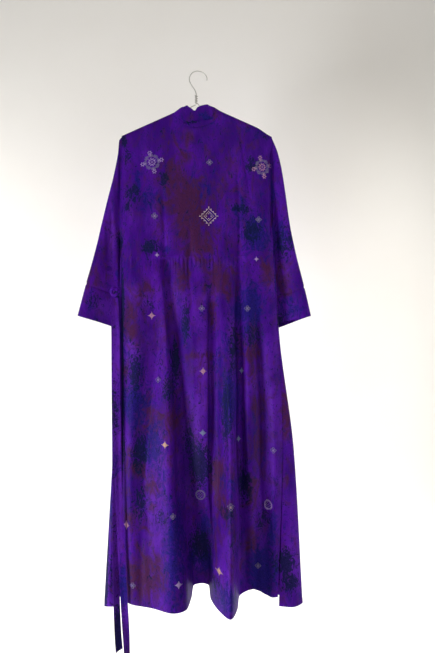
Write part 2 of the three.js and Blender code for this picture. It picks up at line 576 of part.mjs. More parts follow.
// The frame: down the left arm, along the bar and up the right arm.
const frame = { armDrop: 6.6, tipX: 196, barZ: -200, barSag: 1.5, elbowX: 28, elbowZ: -103 };
const armStops = [61, 95, 130, 165, frame.tipX - 4];
const barStops = [-170, -90, 0, 90, 170];
const tipBend = { outX: 3, downZ: 5, barX: 2, barZ: 2 };

function framePoints() {
  const points = [];
  const armZ = (x) => bodiceTop(Math.sign(x) * Math.max(Math.abs(x), neck.half), 0) - frame.armDrop;
  points.push(new THREE.Vector3(hook.neckX - 2.2, 0, hook.neckBottomZ - 2));
  points.push(new THREE.Vector3(-frame.elbowX, 0, frame.elbowZ));
  for (const x of armStops) points.push(new THREE.Vector3(-x, 0, armZ(-x)));
  points.push(new THREE.Vector3(-frame.tipX - tipBend.outX, 0, armZ(-frame.tipX) - tipBend.downZ));
  points.push(new THREE.Vector3(-frame.tipX + tipBend.barX, 0, frame.barZ + tipBend.barZ));
  for (const x of barStops) points.push(new THREE.Vector3(x, 0, frame.barZ - frame.barSag));
  points.push(new THREE.Vector3(frame.tipX - tipBend.barX, 0, frame.barZ + tipBend.barZ));
  points.push(new THREE.Vector3(frame.tipX + tipBend.outX, 0, armZ(frame.tipX) - tipBend.downZ));
  for (const x of [...armStops].reverse()) points.push(new THREE.Vector3(x, 0, armZ(x)));
  points.push(new THREE.Vector3(frame.elbowX, 0, frame.elbowZ));
  points.push(new THREE.Vector3(6.5, 0, -94));
  return points;
}

// The wire's end, which rises from the right arm in close turns round the hook's neck.
const twist = { turns: 3.5, topZ: -65, turnSteps: 10 };

function twistPoints() {
  const reach = 2 * wire.radius + 0.5;
  const count = twist.turns * twist.turnSteps;
  const points = [new THREE.Vector3(5.6, 0, -93.2), new THREE.Vector3(2.2, 0, -90.5)];
  for (let i = 0; i <= count; i++) {
    const angle = (i * 2 * Math.PI) / twist.turnSteps;
    const z = mix(hook.neckBottomZ + 2.5, twist.topZ, i / count);
    points.push(new THREE.Vector3(hook.neckX + reach * Math.cos(angle), reach * Math.sin(angle), z));
  }
  return points;
}

const silk = new THREE.MeshStandardMaterial({
  color: cloth.color,
  roughness: cloth.roughness,
  metalness: 0,
});
const steel = new THREE.MeshStandardMaterial({
  color: wire.color,
  roughness: wire.roughness,
  metalness: wire.metalness,
});

const robe = new THREE.Group();

function addPiece(name, geometry, material) {
  const mesh = new THREE.Mesh(geometry, material);
  mesh.name = name;
  robe.add(mesh);
}

// How far down a panel each row of its mesh lies, closer together where the cloth turns.
const skirtDown = [0, 0.015, 0.04, 0.09, 0.17, 0.29, 0.44, 0.62, 0.81, 1];
const bodiceDown = [0, 0.012, 0.03, 0.07, 0.14, 0.25, 0.38, 0.52, 0.65, 0.73, 0.82, 0.91, 1];
const backSkirt = skirtSurface(backSkirtFolds, waist.z - cloth.gap, gatherRelief);
addPiece('back_skirt', panelWall(backSkirt, stations(102), skirtDown, 1), silk);
addPiece('back_bodice', panelWall(backBodiceSurface, stations(36), bodiceDown, 1), silk);

const frontTopZ = waist.z - cloth.gap;
const leftSkirt = skirtSurface(leftSkirtFolds, frontTopZ);
const rightSkirt = skirtSurface(rightSkirtFolds, frontTopZ);
addPiece('front_skirt_left', panelWall(leftSkirt, stations(28), skirtDown, 1), silk);
addPiece('front_skirt_right', panelWall(rightSkirt, stations(28), skirtDown, 1), silk);

// The neckband's rows that lie along each front's edge.
const leftEdge = neckbandSections.slice(0, 6);
const rightEdge = neckbandSections.slice(13);
const leftFront = frontBodiceSurface(leftSideX, -neck.half, leftEdge, overlap.lift);
const rightFront = frontBodiceSurface(rightSideX, neck.half, rightEdge, 0);
addPiece('front_bodice_left', panelWall(leftFront, stations(14), bodiceDown, 1), silk);
addPiece('front_bodice_right', panelWall(rightFront, stations(14), bodiceDown, 1), silk);
addPiece('neckband', panelWall(neckbandSurface, stations(54), stations(4), 1), silk);

const cuffRow = leftSleeveRings.length - 2;
const seamShare = 0.004;
for (const [side, rings] of [['left', leftSleeveRings], ['right', rightSleeveRings]]) {
  addPiece(`sleeve_${side}`, sleeveWall(rings, 0, cuffRow - seamShare, 9, 24), silk);
  addPiece(`cuff_${side}`, sleeveWall(rings, cuffRow + seamShare, cuffRow + 1, 2, 24), silk);
}

addPiece('tie_knot', knotGeometry(), silk);
addPiece('tie_short', panelWall(tieSurface(shortTieSections), stations(2), stations(20), 1), silk);
addPiece('tie_long', panelWall(tieSurface(longTieSections), stations(2), stations(20), 1), silk);

addPiece('hanger_hook', wireAlong(hookPoints(), 32), steel);
addPiece('hanger_frame', wireAlong(framePoints(), 52), steel);
addPiece('hanger_twist', wireAlong(twistPoints(), 34), steel);

export default robe;
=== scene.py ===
import math

import bpy
import numpy as np
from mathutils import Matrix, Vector
from mathutils.bvhtree import BVHTree


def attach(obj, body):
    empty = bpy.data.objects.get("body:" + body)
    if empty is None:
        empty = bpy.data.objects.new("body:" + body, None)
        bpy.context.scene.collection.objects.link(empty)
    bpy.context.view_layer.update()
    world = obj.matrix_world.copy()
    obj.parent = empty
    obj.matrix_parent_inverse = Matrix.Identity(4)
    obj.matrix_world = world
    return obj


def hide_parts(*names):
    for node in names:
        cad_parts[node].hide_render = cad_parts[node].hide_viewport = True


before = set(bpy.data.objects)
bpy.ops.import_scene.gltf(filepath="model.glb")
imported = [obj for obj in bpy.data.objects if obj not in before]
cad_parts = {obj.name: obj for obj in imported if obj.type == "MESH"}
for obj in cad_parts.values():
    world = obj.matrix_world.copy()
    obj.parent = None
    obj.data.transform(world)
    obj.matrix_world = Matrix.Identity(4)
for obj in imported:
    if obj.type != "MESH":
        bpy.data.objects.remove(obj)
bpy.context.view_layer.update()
perMm = 0.001
rng = np.random.default_rng(31)

neck = {"half": 61, "pointZ": -112, "drop": 42}
shoulder = {"slope": 0.447, "seamY": 1.4, "leftX": -207, "rightX": 205}
rightShoulder = {"lift": 4, "corner": 7.6, "cornerFrom": 160}
armhole = {"bottomZ": -402, "sewnOver": 40}
waist = {"z": -509, "rightX": 209, "spreadFrom": -460}
cloth = {"seamGap": 0.35, "shell": 0.7, "sharpFrom": 55}
# The tuck along an armhole: its ends, how gently it starts there, its half width, and its depth each side.
tuck = {"topZ": -196, "topOver": 40, "endZ": -478, "endOver": 60, "width": 6.5, "left": 4, "right": 12}
# A crease wanders a little from side to side and runs out softly past its ends.
crease = {"wander": 1.6, "rate": 0.019, "shift": 0.7, "past": 0.12, "over": 0.34}
# The ranges that each gather's measures come from, as shares of its stretch's own, and how soon it is deep.
gather = {
    "length": (0.3, 1),
    "lean": (-0.06, 0.06),
    "width": (0.2, 0.34),
    "depth": (0.45, 1.15),
    "next": (0.65, 1.4),
    "start": 7,
}
# A hem's turned-up band, how softly it ends, and the groove of its stitching.
hem = {"band": 9, "raised": 0.5, "turn": 1.6, "groove": 0.45, "grooveUp": 1.2, "grooveWidth": 1.1}
# How each patch, of dye and of painted sheen and shade, fades from its centre.
dyeAndPaintedLightEdge = {"power": 1.3, "fall": 1.4}
# Where the waist, hip, knee and hem lie along a skirt's fold line.
levels = [0, 0.23, 0.56, 1]


def mix(low, high, share):
    return low + (high - low) * share


def ease(share):
    t = np.clip(share, 0, 1)
    return t * t * (3 - 2 * t)


# A smooth curve through values at rising knots, which never overshoots them.
def curveThrough(knots, values, places):
    knots = np.asarray(knots, float)
    values = np.asarray(values, float)
    spans = np.diff(knots)
    spread = (1,) * (values.ndim - 1)
    slopes = np.diff(values, axis=0) / spans.reshape(spans.shape + spread)
    before = slopes[:-1]
    after = slopes[1:]
    same = before * after > 0
    total = np.where(same, before + after, 1)
    inner = np.where(same, 2 * before * after / total, 0)
    tangents = np.concatenate([slopes[:1], inner, slopes[-1:]])
    at = np.clip(np.asarray(places, float), knots[0], knots[-1])
    i = np.clip(np.searchsorted(knots, at, side="right") - 1, 0, len(knots) - 2)
    t = ((at - knots[i]) / spans[i]).reshape(at.shape + spread)
    span = spans[i].reshape(at.shape + spread)
    rise = t * (1 - t) ** 2 * span * tangents[i]
    fall = t * t * (1 - t) * span * tangents[i + 1]
    return mix(values[i], values[i + 1], t * t * (3 - 2 * t)) + rise - fall


def stations(count):
    return np.linspace(0, 1, count + 1)


# Stations from 0 to 1 that crowd towards either end by a share of 0 to 1.
def closeAtEnds(count, first, last):
    t = stations(count)
    start = t * t
    end = 1 - (1 - t) ** 2
    even = 1 - first - last
    return even * t + first * start + last * end


# How far the cloth beside an armhole seam is drawn in, by its height and its distance from the seam.
def armholeTuck(x, z, side):
    drawn = ease((tuck["topZ"] - z) / tuck["topOver"]) * ease((z - tuck["endZ"]) / tuck["endOver"])
    return tuck[side] * drawn * np.exp(-(((x - shoulder[f"{side}X"]) / tuck["width"]) ** 2))


# The unit normals of a grid of points, towards the inside of the robe.
def inwardOf(points):
    normals = np.cross(np.gradient(points, axis=1), np.gradient(points, axis=0))
    return normals / np.maximum(np.linalg.norm(normals, axis=2, keepdims=True), 1e-9)


# How far a panel is pressed in along its creases at each point. A ridge has a depth below zero.
def creaseDepth(creases, x, z):
    depth = np.zeros_like(x)
    for fromX, fromZ, toX, toZ, width, deep, sharp in creases:
        share = (z - fromZ) / (toZ - fromZ)
        wander = crease["wander"] * np.sin(z * crease["rate"] + fromX * crease["shift"])
        across = np.abs(x - mix(fromX, toX, share) - wander) / width
        length = ease((share + crease["past"]) / crease["over"])
        length *= ease((1 + crease["past"] - share) / crease["over"])
        depth += deep * length * np.exp(-(across**sharp))
    return depth


# Small gathers below a seam: each is a narrow crease with a length and depth of its own.
def gatherDepth(stretches, x, z, topZ):
    depth = np.zeros_like(x)
    below = topZ - z
    for fromX, toX, spacing, deep, longest in stretches:
        at = fromX
        while at < toX:
            length = longest * rng.uniform(*gather["length"])
            lean = rng.uniform(*gather["lean"])
            width = spacing * rng.uniform(*gather["width"])
            strength = deep * rng.uniform(*gather["depth"])
            strength = strength * ease(below / gather["start"]) * (1 - ease(below / length))
            depth += strength * np.exp(-(((x - at - lean * below) / width) ** 2))
            at += spacing * rng.uniform(*gather["next"])
    return depth


# Each point's distance from the lower edge, down its own column.
def fromHem(points):
    steps = np.linalg.norm(np.diff(points, axis=0), axis=2)
    return np.concatenate([np.cumsum(steps[::-1], axis=0)[::-1], np.zeros((1, points.shape[1]))])


# A turned-up hem: a band that stands out a little, with a stitched groove along its upper edge.
def hemBand(points):
    above = fromHem(points) - hem["band"]
    step = hem["raised"] * (1 - ease(above / hem["turn"]))
    groove = hem["groove"] * np.exp(-(((above - hem["grooveUp"]) / hem["grooveWidth"]) ** 2))
    return points - inwardOf(points) * (step - groove)[..., None]


# The strength of each dye and of the painted sheen and shade at each point, from soft oval patches.
def dyeAndPaintedLightMasks(x, z, patches):
    masks = {kind: np.zeros_like(x) for kind in dyesAndPaintedLight}
    for kind, atX, atZ, width, height, strength in patches:
        away = ((x - atX) / width) ** 2 + ((z - atZ) / height) ** 2
        reached = strength * np.exp(-(away ** dyeAndPaintedLightEdge["power"]) * dyeAndPaintedLightEdge["fall"])
        masks[kind] = np.maximum(masks[kind], reached)
    return masks


# A closed wall between two grids of points in millimetres, with cloth lengths in metres as its UVs.
def shellMesh(name, outer, inner, wrapped):
    rows, cols = outer.shape[:2]
    vertices = np.concatenate([outer.reshape(-1, 3), inner.reshape(-1, 3)]) * perMm
    index = np.arange(2 * rows * cols).reshape(2, rows, cols)
    if wrapped:
        index = np.concatenate([index, index[:, :, :1]], axis=2)
    front, back = index
    quads = [
        np.stack([front[:-1, :-1], front[:-1, 1:], front[1:, 1:], front[1:, :-1]], axis=-1),
        np.stack([back[:-1, :-1], back[1:, :-1], back[1:, 1:], back[:-1, 1:]], axis=-1),
        np.stack([front[0, :-1], back[0, :-1], back[0, 1:], front[0, 1:]], axis=-1),
        np.stack([front[-1, :-1], front[-1, 1:], back[-1, 1:], back[-1, :-1]], axis=-1),
    ]
    if not wrapped:
        quads.append(np.stack([front[:-1, 0], front[1:, 0], back[1:, 0], back[:-1, 0]], axis=-1))
        quads.append(np.stack([front[:-1, -1], back[:-1, -1], back[1:, -1], front[1:, -1]], axis=-1))
    faces = np.concatenate([quad.reshape(-1, 4) for quad in quads])
    corners = vertices[faces]
    volume = np.einsum("ij,ij->i", corners[:, 0], np.cross(corners[:, 1], corners[:, 2])).sum()
    volume += np.einsum("ij,ij->i", corners[:, 0], np.cross(corners[:, 2], corners[:, 3])).sum()
    if volume < 0:
        faces = faces[:, ::-1]
    mesh = bpy.data.meshes.new(name)
    mesh.from_pydata(vertices.tolist(), [], faces.tolist())
    across = np.concatenate([np.zeros((rows, 1)), np.linalg.norm(np.diff(outer, axis=1), axis=2)], axis=1)
    down = np.concatenate([np.zeros((1, cols)), np.linalg.norm(np.diff(outer, axis=0), axis=2)])
    lengths = np.stack([across.cumsum(axis=1), down.cumsum(axis=0)], axis=-1).reshape(-1, 2) * perMm
    lengths = np.concatenate([lengths, lengths])
    layer = mesh.uv_layers.new(name="clothLengths")
    loops = np.empty(len(mesh.loops), dtype=np.int32)
    mesh.loops.foreach_get("vertex_index", loops)
    layer.data.foreach_set("uv", lengths[loops].ravel())
    mesh.shade_smooth()
    mesh.set_sharp_from_angle(angle=math.radians(cloth["sharpFrom"]))
    return mesh


# Writes the strengths of the dyes and of the painted sheen and shade on the vertices of a shell.
def markDyesAndPaintedLight(mesh, outer, patches):
    masks = dyeAndPaintedLightMasks(outer[..., 0], outer[..., 2], patches)
    for kind, mask in masks.items():
        layer = mesh.attributes.new(f"{kind}DyeAndPaintedLight", "FLOAT", "POINT")
        both = np.concatenate([mask.ravel(), mask.ravel()]).astype(np.float32)
        layer.data.foreach_set("value", both)


def addObject(name, mesh, material):
    piece = bpy.data.objects.new(name, mesh)
    bpy.context.scene.collection.objects.link(piece)
    mesh.materials.append(material)
    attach(piece, "root")
    return piece


# A piece of the robe: a thin shell in place of its solid, with the grid as its outside. A tube brings its
# inside too.
def clothPiece(about, outer, patches, inner=None):
    isTube = inner is not None
    if not isTube:
        inner = outer + inwardOf(outer) * cloth["shell"]
    mesh = shellMesh(about["name"], outer, inner, isTube)
    markDyesAndPaintedLight(mesh, outer, patches)
    piece = addObject(about["name"], mesh, silk)
    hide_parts(about["node"])
    print(f"{about['name']}: {len(mesh.polygons)} faces")
    return piece


# A colour written as sRGB hex, as the linear values that a shader takes.
def linear(code):
    shares = [int(code[i : i + 2], 16) / 255 for i in (1, 3, 5)]
    return [s / 12.92 if s <= 0.04045 else ((s + 0.055) / 1.055) ** 2.4 for s in shares] + [1]


# A node with its settings, and its inputs set to a value or linked from another node's output.
def addNode(tree, kind, settings, links):
    node = tree.nodes.new(kind)
    for key, value in settings.items():
        setattr(node, key, value)
    for key, value in links.items():
        if isinstance(value, bpy.types.NodeSocket):
            tree.links.new(value, node.inputs[key])
        else:
            node.inputs[key].default_value = value
    return node


# An empty material, its tree, and the places that its textures can start from.
def newMaterial(name):
    material = bpy.data.materials.new(name)
    material.use_nodes = True
    tree = material.node_tree
    tree.nodes.clear()
    return material, tree, addNode(tree, "ShaderNodeTexCoord", {}, {}).outputs


# The shader that gives a material its finish.
def finishWith(tree, inputs):
    shader = addNode(tree, "ShaderNodeBsdfPrincipled", {}, inputs)
    addNode(tree, "ShaderNodeOutputMaterial", {}, {"Surface": shader.outputs[0]})


def mathNode(tree, operation, first, second, clamp=False):
    settings = {"operation": operation, "use_clamp": clamp}
    return addNode(tree, "ShaderNodeMath", settings, {0: first, 1: second}).outputs[0]


def mixColors(tree, share, first, second):
    settings = {"data_type": "RGBA"}
    return addNode(tree, "ShaderNodeMix", settings, {0: share, 6: first, 7: second}).outputs[2]


# The share of the way that a value has come from low to high, times a top share.
def rangeNode(tree, value, low, high, top=1.0, smooth=False):
    settings = {"interpolation_type": "SMOOTHSTEP"} if smooth else {}
    links = {"Value": value, "From Min": low, "From Max": high, "To Max": top}
    return addNode(tree, "ShaderNodeMapRange", settings, links).outputs[0]


# Relief of a surface from a height between 0 and 1 and the depth that it stands for.
def bumpNode(tree, height, strength, depthMm):
    links = {"Height": height, "Strength": strength, "Distance": depthMm * perMm}
    return addNode(tree, "ShaderNodeBump", {}, links).outputs["Normal"]


# Noise whose blotches are about sizeMm across.
def noiseAt(tree, vector, sizeMm, detail, stretch=(1, 1, 1), torn=0):
    moved = addNode(tree, "ShaderNodeMapping", {}, {"Vector": vector, "Scale": stretch}).outputs[0]
    links = {"Vector": moved, "Scale": 1 / (sizeMm * perMm), "Detail": detail, "Distortion": torn}
    links["Roughness"] = 0.6
    return addNode(tree, "ShaderNodeTexNoise", {}, links).outputs["Fac"]


# The silk's colours. Deep is the vat's deeper violet and also the painted shade of the deep patches; lilac
# is the colour of thick threads and also the painted sheen of the lilac patches.
silkColors = {
    "violet": "#490f90",
    "deep": "#340973",
    "lilac": "#6a2cb6",
    "rust": "#461e30",
    "blue": "#1a1a78",
    "green": "#101b40",
    "ink": "#0a0e2c",
}
# Each kind of patch: the size of its clouds and how torn they are, how softly they end, how far it is
# strewn beyond its patches, how strongly it covers the violet, and how much of it dried to dark veins.
# Rust, blue and green are dyes, and a few green patches are painted shade in gaps and hollows. Lilac is
# painted sheen, paler where light falls on the silk, and deep is painted shade in folds and hollows, under
# the neckband's flap and over the shoulders.
dyesAndPaintedLight = {
    "lilac": {"sizeMm": 70, "torn": 0.6, "soft": 0.5, "strewn": 0.0, "cover": 0.55, "veins": 0.0},
    "deep": {"sizeMm": 60, "torn": 0.4, "soft": 0.4, "strewn": 0.0, "cover": 0.8, "veins": 0.0},
    "rust": {"sizeMm": 34, "torn": 1.6, "soft": 0.34, "strewn": 0.03, "cover": 0.85, "veins": 0.4},
    "blue": {"sizeMm": 22, "torn": 2.4, "soft": 0.26, "strewn": 0.03, "cover": 0.8, "veins": 0.9},
    "green": {"sizeMm": 15, "torn": 3.0, "soft": 0.1, "strewn": 0.03, "cover": 0.85, "veins": 1.0},
}
# Clouds in the silk: the broad unevenness of the vat, small flecks, thick threads along the warp, and the
# branching of hair-fine crackle.
silkNoise = {
    "broad": {"sizeMm": 110, "detail": 3, "stretch": (1.6, 1, 0.7)},
    "small": {"sizeMm": 6, "detail": 5, "stretch": (1, 1, 0.5), "torn": 1.2},
    "slub": {"sizeMm": 1.6, "detail": 2, "stretch": (1, 0.03, 1)},
    "branch": {"sizeMm": 11, "detail": 7, "stretch": (1, 1, 0.8), "torn": 2.6},
}
silkTone = {"low": 0.38, "high": 0.6}
silkSlub = {"low": 0.52, "high": 0.75, "top": 0.2}
dyeAndPaintedLightSpread = {"fleck": 0.22, "byMask": 0.3, "edge": 0.66, "veinWidth": 0.05}
dyeAndPaintedLightCloud = {"detail": 10, "stretch": (1, 1, 0.6)}
# The weave is drawn at 0.9 mm instead of its real 0.2 mm, so that it can be resolved at all.
weaving = {"scale": 350, "weaveShare": 0.35, "slubShare": 0.65, "strength": 0.22, "depthMm": 0.4}


# Plain-woven silk, resist-dyed: a soft sheen at grazing angles, cloudy patches of other dyes, and patches
# of painted sheen and painted shade.
def makeSilk():
    material, tree, place = newMaterial("dyed_violet_silk")
    inSpace = place["Object"]
    onCloth = place["UV"]
    broad = noiseAt(tree, inSpace, **silkNoise["broad"])
    small = noiseAt(tree, inSpace, **silkNoise["small"])
    slub = noiseAt(tree, onCloth, **silkNoise["slub"])
    # Broad uneven dyeing: the vat's violet is deeper in some places than others.
    tone = rangeNode(tree, broad, **silkTone)
    color = mixColors(tree, tone, linear(silkColors["deep"]), linear(silkColors["violet"]))
    # Uneven threads: long faint streaks along the warp.
    color = mixColors(tree, rangeNode(tree, slub, **silkSlub), color, linear(silkColors["lilac"]))
    # Dye that dried along hair-fine crackle, seen as feathery dark veins inside the patches.
    branch = noiseAt(tree, inSpace, **silkNoise["branch"])
    away = mathNode(tree, "ABSOLUTE", mathNode(tree, "SUBTRACT", branch, 0.5), 0)
    veins = rangeNode(tree, away, dyeAndPaintedLightSpread["veinWidth"], 0, smooth=True)
    inked = 0
    # Each dye has run along the threads, so its patches are torn at their edges and flecked inside. The
    # patches of painted sheen and painted shade are torn and flecked the same way.
    for kind, patchLook in dyesAndPaintedLight.items():
        mask = addNode(tree, "ShaderNodeAttribute", {"attribute_name": f"{kind}DyeAndPaintedLight"}, {}).outputs["Fac"]
        cloud = noiseAt(tree, inSpace, patchLook["sizeMm"], torn=patchLook["torn"], **dyeAndPaintedLightCloud)
        fleck = mathNode(tree, "MULTIPLY", mathNode(tree, "SUBTRACT", small, 0.5), dyeAndPaintedLightSpread["fleck"])
        spread = mathNode(tree, "MULTIPLY", mask, dyeAndPaintedLightSpread["byMask"])
        spread = mathNode(tree, "ADD", spread, patchLook["strewn"])
        level = mathNode(tree, "ADD", mathNode(tree, "ADD", cloud, fleck), spread)
        low = dyeAndPaintedLightSpread["edge"] - patchLook["soft"] / 2
        share = rangeNode(tree, level, low, low + patchLook["soft"], patchLook["cover"], smooth=True)
        color = mixColors(tree, share, color, linear(silkColors[kind]))
        inked = mathNode(tree, "MAXIMUM", inked, mathNode(tree, "MULTIPLY", share, patchLook["veins"]))
    color = mixColors(tree, mathNode(tree, "MULTIPLY", veins, inked), color, linear(silkColors["ink"]))
    threadsOver = []
    for direction in ("X", "Y"):
        links = {"Vector": onCloth, "Scale": weaving["scale"]}
        bands = addNode(tree, "ShaderNodeTexWave", {"bands_direction": direction}, links)
        threadsOver.append(bands.outputs["Fac"])
    weave = mathNode(tree, "MULTIPLY", *threadsOver)
    weave = mathNode(tree, "MULTIPLY", weave, weaving["weaveShare"])
    raised = mathNode(tree, "ADD", weave, mathNode(tree, "MULTIPLY", slub, weaving["slubShare"]))
    finishWith(tree, {
        "Base Color": color,
        "Roughness": mathNode(tree, "ADD", mathNode(tree, "MULTIPLY", small, 0.14), 0.42),
        "Specular IOR Level": 0.07,
        "Specular Tint": linear("#c4a4ff"),
        "Sheen Weight": 0.04,
        "Sheen Roughness": 0.4,
        "Sheen Tint": linear("#8c50ff"),
        "Normal": bumpNode(tree, raised, weaving["strength"], weaving["depthMm"]),
    })
    return material


# Floss silk of a stitched motif: lighter than the ground, with a satin gleam along each float, and worn in
# places, where the ground's violet shows through.
def makeThread(name, code):
    material, tree, place = newMaterial(name)
    worn = rangeNode(tree, noiseAt(tree, place["Object"], 4, 3), 0.4, 0.7, 0.55)
    strand = noiseAt(tree, place["Object"], 0.7, 2)
    finishWith(tree, {
        "Base Color": mixColors(tree, worn, linear(code), linear("#5b3f86")),
        "Roughness": 0.5,
        "Sheen Weight": 0.2,
        "Normal": bumpNode(tree, strand, 0.3, 0.2),
    })
    return material


# Galvanised drawn steel wire: a dull grey metal gleam, clouded by its zinc, with faint drawing lines.
def makeSteel():
    material, tree, place = newMaterial("galvanised_steel_wire")
    cloud = noiseAt(tree, place["Object"], 5, 4)
    lines = noiseAt(tree, place["Object"], 0.6, 2, (1, 1, 0.1))
    finishWith(tree, {
        "Base Color": mixColors(tree, cloud, linear("#a9a8a6"), linear("#cfcdc8")),
        "Metallic": 1.0,
        "Roughness": mathNode(tree, "ADD", mathNode(tree, "MULTIPLY", cloud, 0.25), 0.25),
        "Normal": bumpNode(tree, lines, 0.15, 0.1),
    })
    return material


# Matte paint over plaster, a little cloudy.
def makeMatte(name, code, other):
    material, tree, place = newMaterial(name)
    cloud = noiseAt(tree, place["Object"], 400, 3)
    finishWith(tree, {"Base Color": mixColors(tree, cloud, linear(code), linear(other)), "Roughness": 0.9})
    return material


silk = makeSilk()
steel = makeSteel()
threadColors = {
    "lilac": ("lilac_floss_silk", "#a285c0"),
    "cream": ("cream_floss_silk", "#ead2cc"),
    "pink": ("pink_floss_silk", "#b07a9c"),
    "green": ("grey_green_floss_silk", "#66719a"),
    "gold": ("old_gold_floss_silk", "#c2987c"),
    "grey": ("grey_floss_silk", "#6a5f84"),
}
threads = {color: makeThread(name, code) for color, (name, code) in threadColors.items()}
print("materials made")


# A list of patches, of dye and of painted sheen and shade, from a table of kinds: centre x and z, half
# width, half height and strength.
def placed(table):
    return [(kind, *patch) for kind, patches in table.items() for patch in patches]


backPatches = placed({
    "rust": [
        (-178, -690, 36, 60, 1.0), (-150, -600, 40, 30, 0.6), (-40, -560, 30, 50, 0.8),
        (60, -580, 50, 50, 0.9), (-120, -960, 50, 70, 0.7), (10, -780, 60, 12, 0.8),
        (190, -560, 24, 60, 0.7), (-27, -188, 22, 32, 0.6), (-33, -238, 30, 32, 0.6),
        (-69, -285, 24, 60, 0.5), (-25, -353, 50, 42, 0.9), (-19, -450, 38, 60, 0.8),
        (27, -490, 26, 40, 0.6), (-102, -367, 16, 42, 0.5), (90, -285, 26, 60, 0.35),
        (-170, -725, 40, 46, 0.7), (-198, -821, 22, 40, 0.6), (-69, -656, 14, 60, 0.4),
        (-86, -964, 44, 50, 0.9), (63, -563, 46, 44, 0.7), (90, -606, 26, 30, 0.8),
        (44, -656, 16, 80, 0.7), (151, -771, 24, 30, 0.9), (154, -826, 20, 40, 0.5),
        (25, -793, 32, 30, 0.5), (168, -915, 20, 62, 0.5), (-188, -1063, 22, 60, 0.6),
        (-163, -1088, 26, 30, 0.6), (-120, -1130, 36, 42, 0.7), (-166, -1220, 52, 40, 0.5),
        (-139, -1368, 70, 80, 0.9), (55, -1110, 20, 82, 1.0), (90, -1078, 22, 40, 0.4),
        (68, -1178, 26, 42, 0.8), (84, -1260, 32, 42, 0.4), (151, -1145, 22, 62, 0.6),
        (168, -1036, 18, 92, 0.6), (146, -1285, 24, 52, 0.6), (-62, -320, 42, 110, 0.9),
        (-22, -390, 52, 120, 1.2), (4, -475, 58, 60, 0.9), (70, -330, 70, 70, 0.4),
    ],
    "green": [
        (-30, -690, 14, 60, 0.8), (100, -760, 20, 90, 0.6), (-20, -1010, 20, 60, 0.6),
        (80, -930, 16, 120, 0.7), (-203, -194, 14, 24, 0.7), (-192, -235, 14, 32, 0.5),
        (-176, -340, 30, 30, 0.7), (-190, -372, 14, 18, 0.7), (-212, -463, 12, 28, 0.8),
        (-129, -485, 24, 24, 0.9), (151, -257, 20, 28, 0.7), (-129, -642, 24, 24, 0.35),
        (-102, -793, 14, 32, 0.35), (-60, -780, 14, 52, 0.6), (-74, -872, 26, 52, 0.6),
        (151, -725, 32, 40, 0.6), (-205, -1038, 14, 52, 0.8), (-155, -1048, 26, 62, 0.9),
        (-154, -1180, 22, 50, 0.7), (-90, -1212, 18, 26, 0.6), (8, -1080, 34, 72, 1.0),
        (8, -1302, 34, 50, 1.0), (85, -1195, 30, 22, 0.6), (105, -1275, 20, 42, 0.4),
        (50, -1395, 16, 32, 0.5), (131, -1130, 24, 62, 0.8), (179, -1230, 22, 32, 0.6),
        # The patches at x -207 and -206 on the next line are painted shade: the dark gap between the ties
        # and the skirt's left edge, and the hollow round the knot.
        (214, -1343, 14, 42, 0.6), (-207, -820, 6, 290, 2.4), (-206, -640, 7, 60, 3.0),
        (-90, -300, 16, 26, 0.8), (150, -440, 30, 40, 0.7), (120, -380, 40, 14, 0.7),
        (-60, -800, 14, 70, 0.9), (-170, -830, 26, 80, 0.7),
    ],
    # Lilac patches are painted sheen, paler stretches where light falls on the hips and ridges.
    "lilac": [
        (-180, -720, 60, 170, 0.9), (12, -880, 22, 380, 0.9), (-100, -1180, 34, 260, 0.8),
        (92, -760, 14, 200, 0.6), (200, -900, 24, 320, 0.7), (88, -1340, 40, 120, 0.9),
        (-60, -640, 44, 100, 0.6),
    ],
    # Deep patches are painted shade: the darker tops of the shoulders and the shadow under the neckband's
    # flap.
    "deep": [(-130, -190, 100, 60, 0.9), (60, -180, 110, 50, 0.7), (-6, -152, 46, 14, 1.2)],
    "blue": [
        (-162, -298, 12, 32, 0.6), (-129, -353, 26, 42, 0.6), (-88, -490, 18, 22, 0.5),
        (22, -326, 24, 30, 0.35), (118, -381, 24, 42, 0.7), (160, -450, 44, 62, 1.0),
        (77, -425, 42, 14, 0.35), (159, -158, 60, 20, 0.3), (-205, -752, 14, 52, 0.6),
        (-157, -821, 24, 40, 0.4), (-170, -914, 44, 72, 0.9), (-33, -725, 14, 40, 0.6),
        (113, -656, 16, 42, 1.0), (146, -645, 36, 72, 1.0), (85, -752, 30, 50, 0.4),
        (90, -895, 34, 112, 0.8), (58, -797, 20, 50, 0.5), (-118, -1022, 38, 82, 0.8),
        (-90, -1125, 22, 62, 0.4), (-57, -1300, 30, 170, 0.8), (22, -1248, 22, 42, 0.8),
        (-12, -1338, 14, 42, 1.0), (22, -1350, 24, 42, 1.0), (90, -1116, 42, 30, 0.5),
        (85, -1410, 30, 42, 0.8), (179, -1371, 44, 92, 1.0), (204, -1261, 16, 52, 0.8),
        (-215, -1330, 12, 120, 1.0), (38, -142, 12, 12, 0.8),
    ],
})
frontPatches = placed({
    # Lilac patches are painted sheen, and the green patch at x -252 is painted shade in the left front's
    # outer fold.
    "lilac": [(265, -1330, 40, 170, 0.7), (-240, -1440, 30, 60, 0.6)],
    "rust": [(245, -940, 20, 92, 0.8), (245, -1096, 22, 52, 0.4)],
    "green": [
        (242, -1348, 28, 46, 1.0), (256, -1400, 26, 32, 0.9), (-252, -1320, 9, 150, 2.6),
        (-226, -1368, 20, 92, 0.5),
    ],
    "blue": [(-232, -1200, 12, 90, 0.7)],
})
